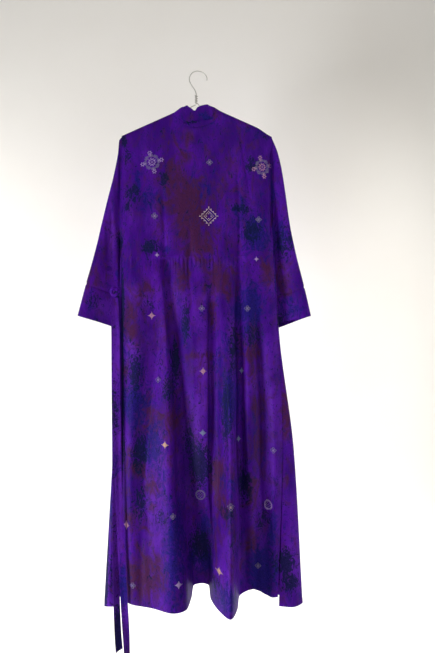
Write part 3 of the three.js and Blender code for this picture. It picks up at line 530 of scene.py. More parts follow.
sleevePatches = placed({
    # The green patches at x -227 and -216 are painted shade in the hollow round the knot.
    "green": [
        (-227, -610, 6, 8, 3.0), (240, -470, 30, 60, 0.6), (-216, -625, 6, 22, 2.0),
        (-286, -632, 22, 26, 0.5), (-212, -463, 14, 28, 0.8),
    ],
    # Lilac patches are painted sheen where light falls on the left sleeve and cuff, and deep patches are
    # painted shade along the sleeve's folds.
    "lilac": [(-238, -440, 9, 120, 1.4), (-252, -650, 26, 40, 0.9)],
    "deep": [(-214, -360, 5, 130, 1.6), (-252, -470, 5, 60, 1.2), (-246, -540, 9, 6, 2.0)],
    "rust": [
        (-286, -580, 30, 30, 0.6), (232, -560, 32, 52, 0.6), (242, -606, 30, 20, 0.4),
        (-282, -556, 26, 32, 0.8),
    ],
    "blue": [(228, -450, 32, 52, 0.7), (256, -650, 44, 40, 0.5)],
})
tiePatches = placed({
    "green": [(-226, -930, 20, 90, 0.6), (-224, -1260, 14, 40, 0.4), (-214, -1540, 16, 80, 1.2)],
    "blue": [(-224, -1090, 20, 50, 0.5), (-196, -1400, 16, 70, 0.9)],
    # Lilac patches are painted sheen along the ties.
    "lilac": [(-222, -1200, 24, 300, 1.8), (-226, -760, 20, 140, 1.6), (-204, -1500, 24, 90, 1.0)],
})
# Patches like the placed ones, for the sides that face away: how many, and the ranges they come from.
strewn = {
    "kinds": ("rust", "blue", "green"),
    "count": 70,
    "ranges": [(-230, 250), (-1460, -130), (14, 44), (22, 80), (0.4, 1)],
}
hiddenPatches = []
for i in range(strewn["count"]):
    kind = strewn["kinds"][int(rng.integers(len(strewn["kinds"])))]
    hiddenPatches.append((kind, *(rng.uniform(low, high) for low, high in strewn["ranges"])))

# Fold lines: x and y at the waist, hip, knee and hem, and the hem's height. Low y stands out backwards.
backSkirtFolds = [
    ("left seam", -207, -1.6, -207, -7, -205, -8, -205, -12, -1446),
    ("side ridge", -172, -13, -168, -19, -178, -22, -171, -36, -1448),
    ("side trough", -134, -13, -118, -8, -147, -14, -124, -47, -1450),
    ("left lobe", -106, -13, -83, -24, -71, -46, -60, -74, -1451),
    ("left lobe flank", -88, -8, -68, -17, -43, -26, -27, -58, -1450),
    ("left fold foot", -68, -12, -55, -9, -30, -8, -16, -14, -1442),
    ("middle trough start", -41, -13, -35, -14, -17, -6, -10, 9, -1417),
    ("middle trough", -19, -9, 6, -22, 10, -16, 12, 12, -1413),
    ("middle trough end", 8, -13, 29, -20, 30, -18, 31, 10, -1417),
    ("middle crease", 33, -13, 38, -12, 38, -10, 37, -10, -1444),
    ("right lobe flank", 57, -14, 57, -18, 60, -22, 60, -62, -1450),
    ("right lobe", 79, -14, 81, -27, 92, -52, 89, -100, -1452),
    ("right lobe turn", 98, -12, 103, -17, 110, -30, 108, -56, -1450),
    ("right trough start", 115, -8, 115, -9, 121, -13, 117, -5, -1438),
    ("right ridge", 136, -13, 141, -20, 144, -24, 156, 1, -1424),
    ("right trough", 164, -12, 169, -6, 189, -1, 188, -4, -1436),
    ("seam ridge", 191, -11, 200, -13, 213, -14, 207, -11, -1441),
    ("right seam", 209, -1.6, 222, -3, 234, -4, 221, -8, -1441),
]
rightSkirtFolds = [
    ("side seam", 209.6, -1.4, 222.9, -2.7, 234.6, -3.7, 224, -6, -1467),
    ("side face", 211.6, -0.4, 225.3, -1.2, 252, -5, 260, -12, -1467),
    ("outer fold", 212.4, 2, 226.8, 4, 266.5, 4, 290.5, 3, -1461),
    ("outer turn", 206, 7, 218, 11, 257, 17, 282, 24, -1462),
    ("outer front", 188, 9, 198, 13, 222, 23, 246, 38, -1460),
    ("first trough", 150, 9, 156, 12, 176, 19, 196, 30, -1450),
    ("first ridge", 112, 9, 116, 15, 126, 26, 140, 42, -1440),
    ("second trough", 60, 9, 62, 12, 66, 20, 72, 31, -1430),
    ("second ridge", 0, 9, 0, 14, 0, 24, 2, 39, -1420),
    ("third trough", -55, 9, -55, 13, -54, 21, -54, 33, -1424),
    ("front edge", -92, 9, -92, 14, -91, 23, -90, 37, -1430),
]
leftSkirtFolds = [
    ("side seam", -207.5, -1.4, -207.5, -6.8, -205.6, -7.9, -216, -6, -1468),
    ("side face", -209.6, -0.4, -213, -5, -221, -6, -238, -7, -1468),
    ("outer fold", -210.4, 2, -217, 1, -232, 3, -257, 6, -1472),
    ("outer turn", -206, 6.5, -212, 8, -224, 15, -247, 24, -1469),
    ("outer front", -186, 10, -186, 13, -194, 22, -214, 38, -1462),
    ("first trough", -150, 13, -150, 15, -154, 23, -166, 34, -1452),
    ("first ridge", -106, 16, -108, 22, -112, 33, -118, 49, -1440),
    ("second trough", -55, 17, -55, 21, -54, 29, -54, 41, -1428),
    ("second ridge", 0, 17, 0, 22, 0, 32, 2, 48, -1420),
    ("third trough", 60, 17, 62, 20, 66, 28, 72, 40, -1426),
    ("front edge", 92, 17, 96, 22, 102, 33, 110, 49, -1434),
]


# A skirt panel through its fold lines, from the waist seam to each line's hem.
def skirtGrid(folds, topZ, across, down):
    table = np.array([row[1:] for row in folds], float)
    lines = np.linspace(0, 1, len(folds))
    x = curveThrough(lines, curveThrough(levels, table[:, 0:8:2].T, down).T, across).T
    y = curveThrough(lines, curveThrough(levels, table[:, 1:8:2].T, down).T, across).T
    hemZ = curveThrough(lines, table[:, 8], across)
    z = mix(topZ, hemZ[None, :], down[:, None])
    return np.stack([x, y, z], axis=-1)


# 0 on a panel's top and side seams and 1 away from them.
def fadeAtSeams(points, topOver, sideOver):
    top = ease((points[0, :, 2][None, :] - points[..., 2]) / topOver)
    width = np.linalg.norm(np.diff(points, axis=1), axis=2).cumsum(axis=1)
    along = np.concatenate([np.zeros((len(points), 1)), width], axis=1)
    side = ease(along / sideOver) * ease((along[:, -1:] - along) / sideOver)
    return top * side


# Creases: from x and z, to x and z, half width, depth and sharpness (2 is soft, 1.2 is nearly an edge).
# Gathers: from x to x, distance apart, depth and greatest length.
# Relief starts at the fade's distances from the waist and from the side seams. A panel starts below the
# waist's line, and its grid has steps across it and down it, with the ends' crowding.
backSkirt = {
    "name": "back_skirt_silk",
    "node": "back_skirt",
    "flat": (0.62, 0.96),
    "area": 0.55,
    "folds": backSkirtFolds,
    "below": 0.02,
    "fade": (10, 14),
    "across": 230,
    "down": (150, 0.45, 0.2),
    "gathers": [
        (-204, -122, 9, 3.0, 95),
        (-118, -76, 12, 1.6, 60),
        (-74, 54, 9, 3.7, 105),
        (60, 200, 10, 2.2, 80),
    ],
    "creases": [
        (-103, -690, -146, -1123, 8, 6, 1.6),
        (-135, -1200, -133, -1250, 4, 2.5, 1.5),
        (-90, -480, -58, -760, 20, 15, 1.7),
        (-62, -700, -30, -1300, 17, 14, 1.7),
        (-24, -520, -12, -715, 8, 4, 1.7),
        (36, -640, 38, -1400, 4, 6, 1.3),
        (50, -600, 52, -1360, 13, 7, 2),
        (115, -509, 119, -1180, 9, 9, 1.5),
        (171, -690, 190, -1240, 9, 8, 1.5),
        (189, -1160, 205, -1330, 6, 4, 1.4),
        (-14, -660, -6, -900, 7, -2.5, 1.8),
        (62, -520, 66, -800, 9, -3, 2),
        (-160, -560, -158, -900, 12, -3, 2),
        (-188, -600, -196, -1000, 8, 3, 1.6),
        (140, -900, 146, -1300, 9, -3, 2),
        (76, -820, 72, -1250, 7, 2.5, 1.8),
        (-96, -1050, -100, -1440, 9, 3, 1.8),
        (-148, -1250, -152, -1440, 9, 3.5, 1.8),
        (160, -1200, 166, -1430, 8, 3, 1.8),
        (134, -1270, 136, -1425, 7, 3, 1.8),
        (20, -1120, 22, -1410, 7, 2, 1.8),
    ],
}


# A skirt panel's grid with its creases, its gathers and its hem.
def pressedSkirt(about):
    topZ = waist["z"] - about["below"]
    points = skirtGrid(about["folds"], topZ, stations(about["across"]), closeAtEnds(*about["down"]))
    x = points[..., 0]
    z = points[..., 2]
    pressed = creaseDepth(about["creases"], x, z) + gatherDepth(about["gathers"], x, z, waist["z"])
    pressed = pressed * fadeAtSeams(points, *about["fade"])
    return hemBand(points + inwardOf(points) * pressed[..., None])


backSkirtPiece = clothPiece(backSkirt, pressedSkirt(backSkirt), backPatches)

frontSkirtMake = {
    "below": cloth["seamGap"],
    "fade": (60, 20),
    "across": 130,
    "down": (110, 0.3, 0.3),
    "gathers": [],
}
rightSkirt = {
    "name": "front_skirt_right_silk",
    "node": "front_skirt_right",
    "flat": (0.46, 0.97),
    "area": 0.40,
    **frontSkirtMake,
    "folds": rightSkirtFolds,
    "creases": [
        (216, -700, 240, -1200, 6, 2, 1.6),
        (120, -560, 128, -1200, 14, 3, 1.8),
        (30, -520, 34, -1000, 10, 2.5, 1.8),
        (150, -800, 168, -1400, 9, -3, 1.8),
        (252, -1000, 262, -1440, 5, 2, 1.5),
        (-20, -700, -26, -1400, 11, 3, 1.8),
    ],
}
leftSkirt = {
    "name": "front_skirt_left_silk",
    "node": "front_skirt_left",
    "flat": (0.44, 0.97),
    "area": 0.38,
    **frontSkirtMake,
    "folds": leftSkirtFolds,
    "creases": [
        (-232, -1180, -240, -1440, 5, 2.5, 1.5),
        (-172, -540, -176, -1000, 10, 2.5, 1.8),
        (-120, -560, -128, -1300, 12, 3, 1.7),
        (-30, -530, -34, -1200, 12, -3, 1.8),
        (30, -620, 36, -1400, 10, 3, 1.7),
        (78, -520, 84, -1100, 8, 2, 1.8),
    ],
}
for about in (rightSkirt, leftSkirt):
    clothPiece(about, pressedSkirt(about), frontPatches + hiddenPatches)


# The right shoulder hangs a little higher than the left one, and its corner is rounded off.
def shoulderLift(x):
    toCorner = (x - rightShoulder["cornerFrom"]) / (shoulder["rightX"] - rightShoulder["cornerFrom"])
    return rightShoulder["lift"] * ease(x / neck["half"]) - rightShoulder["corner"] * ease(toCorner)


# Height of the shoulder seams and, between the neck points, of the seam that the neckband is sewn to.
def bodiceTop(x, drop):
    reach = np.abs(x)
    pointZ = neck["pointZ"] + shoulderLift(x)
    curve = np.sqrt(np.clip(1 - (reach / neck["half"]) ** 2, 0, 1))
    sloped = pointZ - (reach - neck["half"]) * shoulder["slope"]
    return np.where(reach >= neck["half"], sloped, pointZ - drop * curve)


# A bodice panel leaves the shoulder seam quickly at first and then slowly: the lengths that this takes.
standOff = {"atSeam": 4, "quickIn": 6, "slowIn": 70}


# How far a bodice panel stands off the shoulders' plane.
def bodiceStandOff(x, z, topZ, fullness):
    below = np.maximum(topZ - z, 0)
    reach = np.minimum(np.abs(x) / shoulder["rightX"], 1)
    sewn = ease((armhole["bottomZ"] - z) / armhole["sewnOver"]) * reach**16
    first = standOff["atSeam"] * (1 - np.exp(-below / standOff["quickIn"])) * (1 - sewn)
    more = fullness * (1 - np.exp(-below / standOff["slowIn"])) * (1 - reach**4)
    return shoulder["seamY"] + first + more


def rightSideX(z):
    spread = waist["spreadFrom"] - waist["z"]
    return mix(shoulder["rightX"], waist["rightX"], ease((waist["spreadFrom"] - z) / spread))


# The bodice widens below its shoulders, and its lower part bends over to meet the skirt's folds.
backBodice = {
    "name": "back_bodice_silk",
    "node": "back_bodice",
    "flat": (0.44, 0.42),
    "area": 0.155,
    "fullness": 7.3,
    "widensOver": 1 / 2.2,
    "bendsFrom": 0.55,
    "meetsFrom": 0.8,
    "fadeTop": 10,
    "fadeWaist": 6,
    "across": 160,
    "down": (110, 0.3, 0.1),
    "creases": [
        (120, -176, 151, -400, 5, 3.5, 1.3),
        (132, -300, 150, -470, 9, 2.5, 1.8),
        (-93, -330, -90, -512, 9, 6, 1.6),
        (113, -280, 115, -512, 7, 6, 1.5),
        (-19, -420, -19, -512, 7, 3.5, 1.6),
        (-150, -260, -150, -470, 24, -3, 2),
        (165, -240, 160, -480, 18, -2.5, 2),
        (-124, -170, -128, -225, 6, 1.6, 1.6),
        (10, -300, 10, -395, 4, 2, 1.4),
        (-162, -270, -158, -330, 5, 1.8, 1.5),
        (55, -165, 40, -230, 6, 1.5, 1.7),
        (-66, -156, -60, -200, 5, 1.2, 1.7),
        (-40, -158, -36, -190, 4, 1, 1.7),
        (-15, -160, -13, -185, 4, 0.9, 1.7),
        (33, -156, 36, -200, 4, 1.2, 1.7),
        (88, -200, 92, -340, 10, 2, 2),
        (70, -430, 72, -512, 8, -2, 2),
        (-60, -440, -56, -512, 8, -2, 2),
    ],
}

across = stations(backBodice["across"])
u = across[None, :]
v = closeAtEnds(*backBodice["down"])[:, None]
spread = mix(shoulder["leftX"], shoulder["rightX"], u)
inNeck = np.clip(spread / neck["half"], -1, 1)
topX = np.where(np.abs(spread) < neck["half"], neck["half"] * np.sin(inNeck * math.pi / 2), spread)
topZ = bodiceTop(topX, neck["drop"])
seam = skirtGrid(backSkirtFolds, waist["z"] - cloth["seamGap"], across, np.zeros(1))[0]
z = mix(topZ, waist["z"], v)
side = mix(shoulder["leftX"], rightSideX(z), u)
bent = ease((v - backBodice["bendsFrom"]) / (1 - backBodice["bendsFrom"]))
met = ease((v - backBodice["meetsFrom"]) / (1 - backBodice["meetsFrom"]))
x = mix(topX, side, ease(v / backBodice["widensOver"])) + (seam[:, 0] - side) * bent
stand = bodiceStandOff(x, z, bodiceTop(topX, 0), backBodice["fullness"])
points = np.stack([x, mix(-stand, seam[None, :, 1], met), z], axis=-1)
ends = ease((topZ - z) / backBodice["fadeTop"]) * ease((z - waist["z"]) / backBodice["fadeWaist"] + 0.25)
pressed = creaseDepth(backBodice["creases"], x, z) * ends
points = points + inwardOf(points) * pressed[..., None]
points[..., 1] += armholeTuck(x, z, "left") + armholeTuck(x, z, "right")
backBodicePiece = clothPiece(backBodice, points, backPatches)

# Neckband sections: the sewn edge, the fold along the top, and the free edge outside the fold.
neckbandSections = [
    (47, 17.2, -508.6, 68, 17.6, -508.6, 90, 17.2, -508.6),
    (20, 17.1, -400, 41, 17.4, -394, 62, 17, -388),
    (-7, 17, -300, 13, 17.2, -292, 33, 16.8, -284),
    (-34, 15.6, -205, -15, 15.8, -196, 4, 15.4, -187),
    (-50, 9.2, -150, -31, 10, -138, -13, 10, -128),
    (-64, 0.2, -115, -45, 0.4, -102, -27, 3, -92),
    (-58, -6.4, -126, -36, -8, -99.5, -43, -10.4, -116),
    (-44, -7.6, -143, -28, -9, -98, -37, -13, -143),
    (-22, -8.6, -154, -17, -9.6, -104, -19, -14.6, -144),
    (-4, -8.9, -156, -6.5, -9.8, -111, -5, -14.6, -139),
    (16, -8.8, -155, 2, -9.6, -101, 12, -14.2, -136),
    (44, -7.6, -143, 27, -9, -93.5, 34, -13, -134),
    (58, -6.4, -124, 35, -8, -97.5, 44, -10.4, -115),
    (64, 0.2, -111, 45, 0.4, -99.5, 27, 3, -90),
    (50, 7, -150, 31, 6.4, -138, 13, 5, -128),
    (34, 8.2, -205, 15, 8, -196, -4, 7.4, -187),
    (7, 9, -300, -13, 8.8, -292, -33, 8.8, -284),
    (-20, 9, -400, -41, 9, -394, -62, 9, -388),
    (-47, 9, -508.6, -68, 9, -508.6, -90, 9, -508.6),
]

rightBodice = {
    "name": "front_bodice_right_silk",
    "node": "front_bodice_right",
    "flat": (0.24, 0.42),
    "area": 0.077,
    "neckX": 61,
    "edge": neckbandSections[13:],
    "layer": 0,
}
leftBodice = {
    "name": "front_bodice_left_silk",
    "node": "front_bodice_left",
    "flat": (0.24, 0.42),
    "area": 0.078,
    "neckX": -61,
    "edge": neckbandSections[:6],
    "layer": 8,
}
# The left front lies over the right one by its layer, more and more down the neck opening.
fronts = {
    "fullness": 3.8,
    "above": 0.4,
    "overIn": 110,
    "overBy": 1.15,
    "across": 80,
    "down": (100, 0.3, 0.1),
}
for about in (rightBodice, leftBodice):
    u = stations(fronts["across"])[None, :]
    v = closeAtEnds(*fronts["down"])[:, None]
    rows = sorted(about["edge"], key=lambda row: row[2])
    toRight = about["neckX"] > 0
    sideAtTop = shoulder["rightX"] if toRight else shoulder["leftX"]
    topX = mix(sideAtTop, about["neckX"], u)
    topZ = bodiceTop(topX, neck["drop"])
    z = mix(topZ, waist["z"] + fronts["above"], v)
    sideX = rightSideX(z) if toRight else np.full_like(z, shoulder["leftX"])
    edgeX = curveThrough([row[2] for row in rows], [row[0] for row in rows], z)
    x = mix(sideX, edgeX + math.copysign(cloth["seamGap"], about["neckX"]), u)
    stand = bodiceStandOff(x, z, topZ, fronts["fullness"])
    over = about["layer"] * ease((neck["pointZ"] - z) / fronts["overIn"]) * ease(u * fronts["overBy"])
    points = np.stack([x, stand + over, z], axis=-1)
    clothPiece(about, points, hiddenPatches)

# The neckband's fold, how far it reaches below its seam line, and the pucker of its free flap.
neckband = {
    "name": "neckband_silk",
    "node": "neckband",
    "flat": (0.075, 1.05),
    "area": 0.052,
    "foldAt": 0.55,
    "seamClearance": 1.8,
    "standOff": 1,
    "flapFrom": 0.5,
    "frontPucker": 0.25,
    "pucker": 0.8,
    "ripples": (4.1, 1.7),
    "along": 360,
    "across": 22,
}
u = stations(neckband["along"]) * (len(neckbandSections) - 1)
v = stations(neckband["across"])
table = curveThrough(np.arange(len(neckbandSections)), np.array(neckbandSections, float), u)
atBack = table[:, 1] < 0
lowest = bodiceTop(table[:, 0], neck["drop"]) - neckband["seamClearance"]
table[:, 2] = np.where(atBack, np.maximum(table[:, 2], lowest), table[:, 2])
table[:, 1] = np.where(atBack, table[:, 1] - neckband["standOff"], table[:, 1])
shares = [0, neckband["foldAt"], 1]
points = np.stack([curveThrough(shares, table[:, axis::3].T, v) for axis in range(3)], axis=-1)
onFlap = ease((v[:, None] - neckband["flapFrom"]) / (1 - neckband["flapFrom"]))
onFlap = onFlap * np.where(atBack, 1, neckband["frontPucker"])[None, :]
quick, slow = neckband["ripples"]
pucker = neckband["pucker"] * (np.sin(u * quick) * np.sin(u * slow + 1))[None, :] * onFlap
points = points + inwardOf(points) * pucker[..., None]
# The deep patch is painted shade over the back of the neckband, where it recedes, and the thin green patch
# is a painted shadow under the flap's edge.
neckbandPatches = placed({
    "deep": [(-4, -128, 56, 34, 1.3)],
    "blue": [(16, -122, 18, 9, 0.9), (28, -132, 22, 6, 1.2)],
    "green": [(-14, -143, 22, 2.5, 1.2)],
})
neckbandPiece = clothPiece(neckband, points, neckbandPatches + hiddenPatches)

# Sleeve rings from the armhole to the open end: outer x and z, inner x and z, how far the inner end stands
# to the front, half the tube's thickness, and how much lower the front layer ends.
leftSleeveRings = [
    (-207.1, -180, -207.1, -401, 0, 4.5, 0),
    (-214.5, -190, -207.35, -406, 1.5, 6, 0),
    (-217.5, -222, -207.5, -416, 5, 8, 0),
    (-229, -283, -207.4, -440, 14, 10, 0),
    (-246, -350, -206, -475, 24, 11, 0),
    (-263, -420, -199, -518, 28, 12, 0),
    (-283, -500, -193, -565, 30, 12.5, 0),
    (-306, -584, -187, -629, 31, 13, 0),
    (-329, -671, -183, -717, 32, 14, 5),
]
rightSleeveRings = [
    (205.1, -183, 205.1, -401, 0, 4.5, 0),
    (211, -196, 205.35, -407, 1.5, 6, 0),
    (219.8, -218, 205.6, -418, 5, 8, 0),
    (231, -262, 205.8, -442, 14, 10, 0),
    (242.5, -335, 206, -480, 25, 11, 0),
    (254, -415, 200, -522, 31, 12, 0),
    (272.5, -505, 190, -572, 33, 12.5, 0),
    (295, -594, 181, -633, 34, 13, 0),
    (313, -672, 176, -702, 35, 14, 24),
]


# A sleeve's points round each row, how boxy its section is, over how much of its width its inner end
# stands off, and how much more the shell takes off at its sharp edges.
tube = {"points": 120, "boxy": 0.8, "bendShare": 0.62, "edgeShell": 1.6}
# Relief fades out at a part's ends, is weaker on the front layer, and has a groove at the cuff's seam.
sleeveRelief = {"fadeTop": 0.12, "fadeEnd": 0.06, "onFront": 0.4, "groove": 1.8, "grooveRows": 0.022}
tuckRows = {"end": 3.2, "over": 1.6}


# A sleeve's flat tube. Each row runs once round it.
def sleeveGrid(rings, rows, inset=0):
    table = curveThrough(np.arange(len(rings)), np.array(rings, float), rows)
    outerX, outerZ, innerX, innerZ, innerY, half, frontDrop = (table[:, i : i + 1] for i in range(7))
    turn = (np.arange(tube["points"]) * 2 * math.pi / tube["points"])[None, :]
    trim = inset * tube["edgeShell"] / np.hypot(outerX - innerX, outerZ - innerZ)
    across = mix(trim, 1 - trim, (1 - np.cos(turn)) / 2)
    bulge = np.sign(np.sin(turn)) * np.abs(np.sin(turn)) ** tube["boxy"]
    x = mix(outerX, innerX, across)
    y = innerY * ease(across / tube["bendShare"]) + (half - inset) * bulge
    z = mix(outerZ, innerZ, across) - frontDrop * np.maximum(bulge, 0) * across
    return np.stack([x, y, z], axis=-1)


cuffRow = len(leftSleeveRings) - 2
seamShare = 0.0004
sleeveParts = [("sleeve", 0, cuffRow - seamShare, 90), ("cuff", cuffRow + seamShare, cuffRow + 1, 26)]
sleeves = [
    {
        "side": "left",
        "rings": leftSleeveRings,
        "creases": [
            (-212, -250, -216, -440, 4, 4, 1.5),
            (-225, -330, -226, -530, 8, -4.5, 2),
            (-238, -385, -247, -492, 3.5, 5, 1.4),
            (-214, -440, -214, -590, 4, 6, 1.5),
            (-262, -440, -292, -570, 10, 1.5, 2),
        ],
    },
    {
        "side": "right",
        "rings": rightSleeveRings,
        "creases": [
            (214, -240, 222, -520, 6, 6, 1.5),
            (226, -300, 240, -560, 12, -2.5, 2),
            (244, -420, 262, -560, 9, 2, 1.8),
            (209, -470, 223, -640, 4, 7, 1.4),
            (246, -560, 262, -600, 6, 2, 1.6),
        ],
    },
]
# The sleeves' dyes, with their painted sheen and painted shade.
sleeveDyesAndPaintedLight = sleevePatches + hiddenPatches[:20]
for about in sleeves:
    side = about["side"]
    for part, fromRow, toRow, steps in sleeveParts:
        rows = mix(fromRow, toRow, stations(steps))
        outer = sleeveGrid(about["rings"], rows)
        inner = sleeveGrid(about["rings"], rows, cloth["shell"])
        towards = (inner - outer) / np.linalg.norm(inner - outer, axis=2, keepdims=True)
        edges = ease(stations(steps) / sleeveRelief["fadeTop"])
        edges = edges * ease((1 - stations(steps)) / sleeveRelief["fadeEnd"])
        x = outer[..., 0]
        z = outer[..., 2]
        behind = outer[..., 1] < outer[..., 1].mean(axis=1)[:, None]
        layer = np.where(behind, 1, sleeveRelief["onFront"])
        pressed = creaseDepth(about["creases"], x, z) * edges[:, None] * layer
        fromSeam = (rows[:, None] - cuffRow) / sleeveRelief["grooveRows"]
        pressed = pressed + sleeveRelief["groove"] * np.exp(-(fromSeam**2))
        tucked = behind * ease((tuckRows["end"] - rows[:, None]) / tuckRows["over"])
        shift = towards * pressed[..., None]
        shift[..., 1] += armholeTuck(x, z, side) * tucked
        node = f"{part}_{side}"
        piece = clothPiece({"name": f"{node}_silk", "node": node}, outer + shift, sleeveDyesAndPaintedLight, inner + shift)

# The belt's width, how deep its edges curl, and the slant of its cut ends.
belt = {"width": 19, "curl": 0.66, "slant": 0.4, "slantFrom": 0.9, "across": 14, "down": 200}
# How far the curl and the turn of a tie vary on its way down.
sway = {"curl": 0.5, "curlRate": 0.013, "turn": 0.12, "turnRate": 0.011}
# A tie's sections: the middle's x, y and z, and the turn of its width away from the back.
shortTieSections = [
    (-226, -10, -624, 0.1),
    (-224, -12, -720, 0.1),
    (-223, -14, -900, 0.05),
    (-221, -16, -1120, 0.12),
    (-221, -17, -1300, 0.4),
    (-218, -17, -1450, 0.68),
    (-214.3, -17, -1540, 0.66),
    (-211, -17, -1582, 0.55),
]
longTieSections = [
    (-224, -14, -624, 0.25),
    (-220, -16, -720, 0.25),
    (-217.5, -19, -900, 0.2),
    (-211.5, -25, -1120, 0.2),
    (-203, -32, -1300, 0.12),
    (-193.5, -38, -1450, 0.15),
    (-187, -38, -1560, 0.7),
    (-185, -37, -1632, 0.85),
]
shortTie = {"name": "tie_short_silk", "node": "tie_short", "flat": (0.019, 1.0), "rows": shortTieSections}
longTie = {"name": "tie_long_silk", "node": "tie_long", "flat": (0.019, 1.03), "rows": longTieSections}
for about in (shortTie, longTie):
    table = np.array(about["rows"], float)
    heights = -table[:, 2]
    u = stations(belt["across"])[None, :]
    v = stations(belt["down"])[:, None]
    below = mix(heights[0], heights[-1], v)
    along = (u - 0.5) * belt["width"]
    middleX, middleY, twist = (curveThrough(heights, table[:, i], below) for i in (0, 1, 3))
    wave = 1 + sway["curl"] * np.sin(below * sway["curlRate"])
    curl = belt["curl"] * np.cos(2 * math.pi * (u - 0.5)) * wave
    turned = twist + sway["turn"] * np.sin(below * sway["turnRate"] + middleX[:1])
    x = middleX + along * np.cos(turned)
    y = middleY + along * np.sin(turned) + curl
    cut = ease((v - belt["slantFrom"]) / (1 - belt["slantFrom"]))
    z = -below + along * belt["slant"] * cut
    points = np.stack([x, y, z], axis=-1)
    clothPiece(about, points, tiePatches)


# A tube round a path of points, as rows of rings. Its section can be flattened and rippled.
def tubeGrid(path, radii, sides, flatten=1.0, ripples=0, ripple=0.0):
    path = np.asarray(path, float)
    ahead = np.gradient(path, axis=0)
    ahead /= np.linalg.norm(ahead, axis=1, keepdims=True)
    start = np.array([0.0, 1.0, 0.0])
    sideways = []
    for direction in ahead:
        start = start - direction * np.dot(start, direction)
        start = start / np.linalg.norm(start)
        sideways.append(start)
    sideways = np.array(sideways)
    other = np.cross(ahead, sideways)
    angle = (np.arange(sides) * 2 * math.pi / sides)[None, :, None]
    reach = np.asarray(radii, float).reshape(-1, 1, 1) * (1 + ripple * np.cos(ripples * angle))
    outward = sideways[:, None] * np.cos(angle) * flatten + other[:, None] * np.sin(angle)
    return path[:, None] + reach * outward


# A round path through points, with count steps between its ends.
def smoothPath(points, count):
    points = np.asarray(points, float)
    lengths = np.concatenate([[0], np.linalg.norm(np.diff(points, axis=0), axis=1).cumsum()])
    padded = np.concatenate([2 * points[:1] - points[1:2], points, 2 * points[-1:] - points[-2:-1]])
    places = np.linspace(0, lengths[-1], count + 1)
    i = np.clip(np.searchsorted(lengths, places, side="right") - 1, 0, len(points) - 2)
    t = ((places - lengths[i]) / (lengths[i + 1] - lengths[i]))[:, None]
    a, b, c, d = (padded[i + k] for k in range(4))
    curve = (2 * a - 5 * b + 4 * c - d) * t**2 + (3 * b - a - 3 * c + d) * t**3
    return 0.5 * (2 * b + (c - a) * t + curve)


# A closed mesh of a tube's rings, with its ends capped by fans.
def tubeMesh(name, grid):
    rows, sides = grid.shape[:2]
    vertices = np.concatenate([grid.reshape(-1, 3), grid[:1].mean(axis=1), grid[-1:].mean(axis=1)]) * perMm
    faces = []
    for row in range(rows - 1):
        for i in range(sides):
            j = (i + 1) % sides
            faces.append((row * sides + i, row * sides + j, (row + 1) * sides + j, (row + 1) * sides + i))
    first = rows * sides
    for i in range(sides):
        j = (i + 1) % sides
        faces.append((first, j, i))
        faces.append((first + 1, (rows - 1) * sides + i, (rows - 1) * sides + j))
    mesh = bpy.data.meshes.new(name)
    mesh.from_pydata(vertices.tolist(), [], faces)
    mesh.shade_smooth()
    return mesh


# The knot: a loop of the belt, with its turn from end to end, half its size each way and its radius.
knot = {
    "name": "tie_knot_silk",
    "node": "tie_knot",
    "centre": (-226, -9, -606),
    "turn": (0.3, 5.9),
    "half": (8.5, 2.5, 10),
    "strip": 4.0,
    "steps": 60,
    "round": 40,
    "flatness": 0.85,
    "grooves": (7, 0.09),
}
turn = mix(*knot["turn"], stations(knot["steps"]))
loop = np.stack([np.cos(turn), np.sin(2 * turn), np.sin(turn)], axis=-1)
knotPath = np.array(knot["centre"]) + loop * np.array(knot["half"])
knotRadii = np.full(knot["steps"] + 1, knot["strip"])
knotGrid = tubeGrid(knotPath, knotRadii, knot["round"], knot["flatness"], *knot["grooves"])
knotMesh = tubeMesh(knot["name"], knotGrid)
knotPiece = addObject(knot["name"], knotMesh, silk)
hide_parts(knot["node"])

# Kind, centre x and z, radius, width as a share of its height, and thread.
motifs = [
    ("rosette", -123, -252, 33, 1, "lilac"),
    ("rosette", 178, -265, 33, 0.9, "pink"),
    ("diamond", 32, -400, 25, 1, "cream"),
    ("ring", 34, -253, 9, 1, "lilac"),
    ("ring", -116, -399, 9.5, 1, "lilac"),
    ("ring", 168, -409, 9, 1, "green"),
    ("ring", 13, -652, 9, 1, "lilac"),
    ("ring", 137, -652, 9, 1, "green"),
    ("star", -109, -506, 6, 1, "lilac"),
    ("star", 162, -517, 6, 1, "lilac"),
    ("star", -124, -671, 9.5, 1, "pink"),
    ("ring", -106, -846, 9, 1, "lilac"),
    ("star", 17, -822, 9.5, 0.9, "pink"),
    ("star", 122, -822, 8, 0.7, "green"),
    ("star", 16, -990, 9, 1, "green"),
    ("star", -85, -1018, 9, 1, "gold"),
    ("star", 113, -1008, 8, 0.8, "green"),
    ("ring", 208, -1039, 9, 1, "lilac"),
    ("ring", -62, -1204, 9, 0.9, "lilac"),
    ("ring", 91, -1176, 11, 1, "gold"),
    ("star", -191, -1239, 11, 0.7, "pink"),
    ("star", 60, -1352, 10, 1, "gold"),
    ("ring", -172, -1397, 9, 1, "green"),
    ("star", -46, -1380, 9, 1, "lilac"),
    ("ring", 167, -1358, 9, 1, "green"),
    ("lattice", 9, -1162, 15, 1, "grey"),
    ("lattice", 195, -1192, 15, 0.75, "lilac"),
]


# Stitches set radially on a circle: place x and z, direction, length and width.
def ringStitches(radius, count, length, width, tilt=0.0):
    made = []
    for i in range(count):
        angle = 2 * math.pi * i / count + tilt
        made.append((radius * math.cos(angle), radius * math.sin(angle), angle, length, width))
    return made


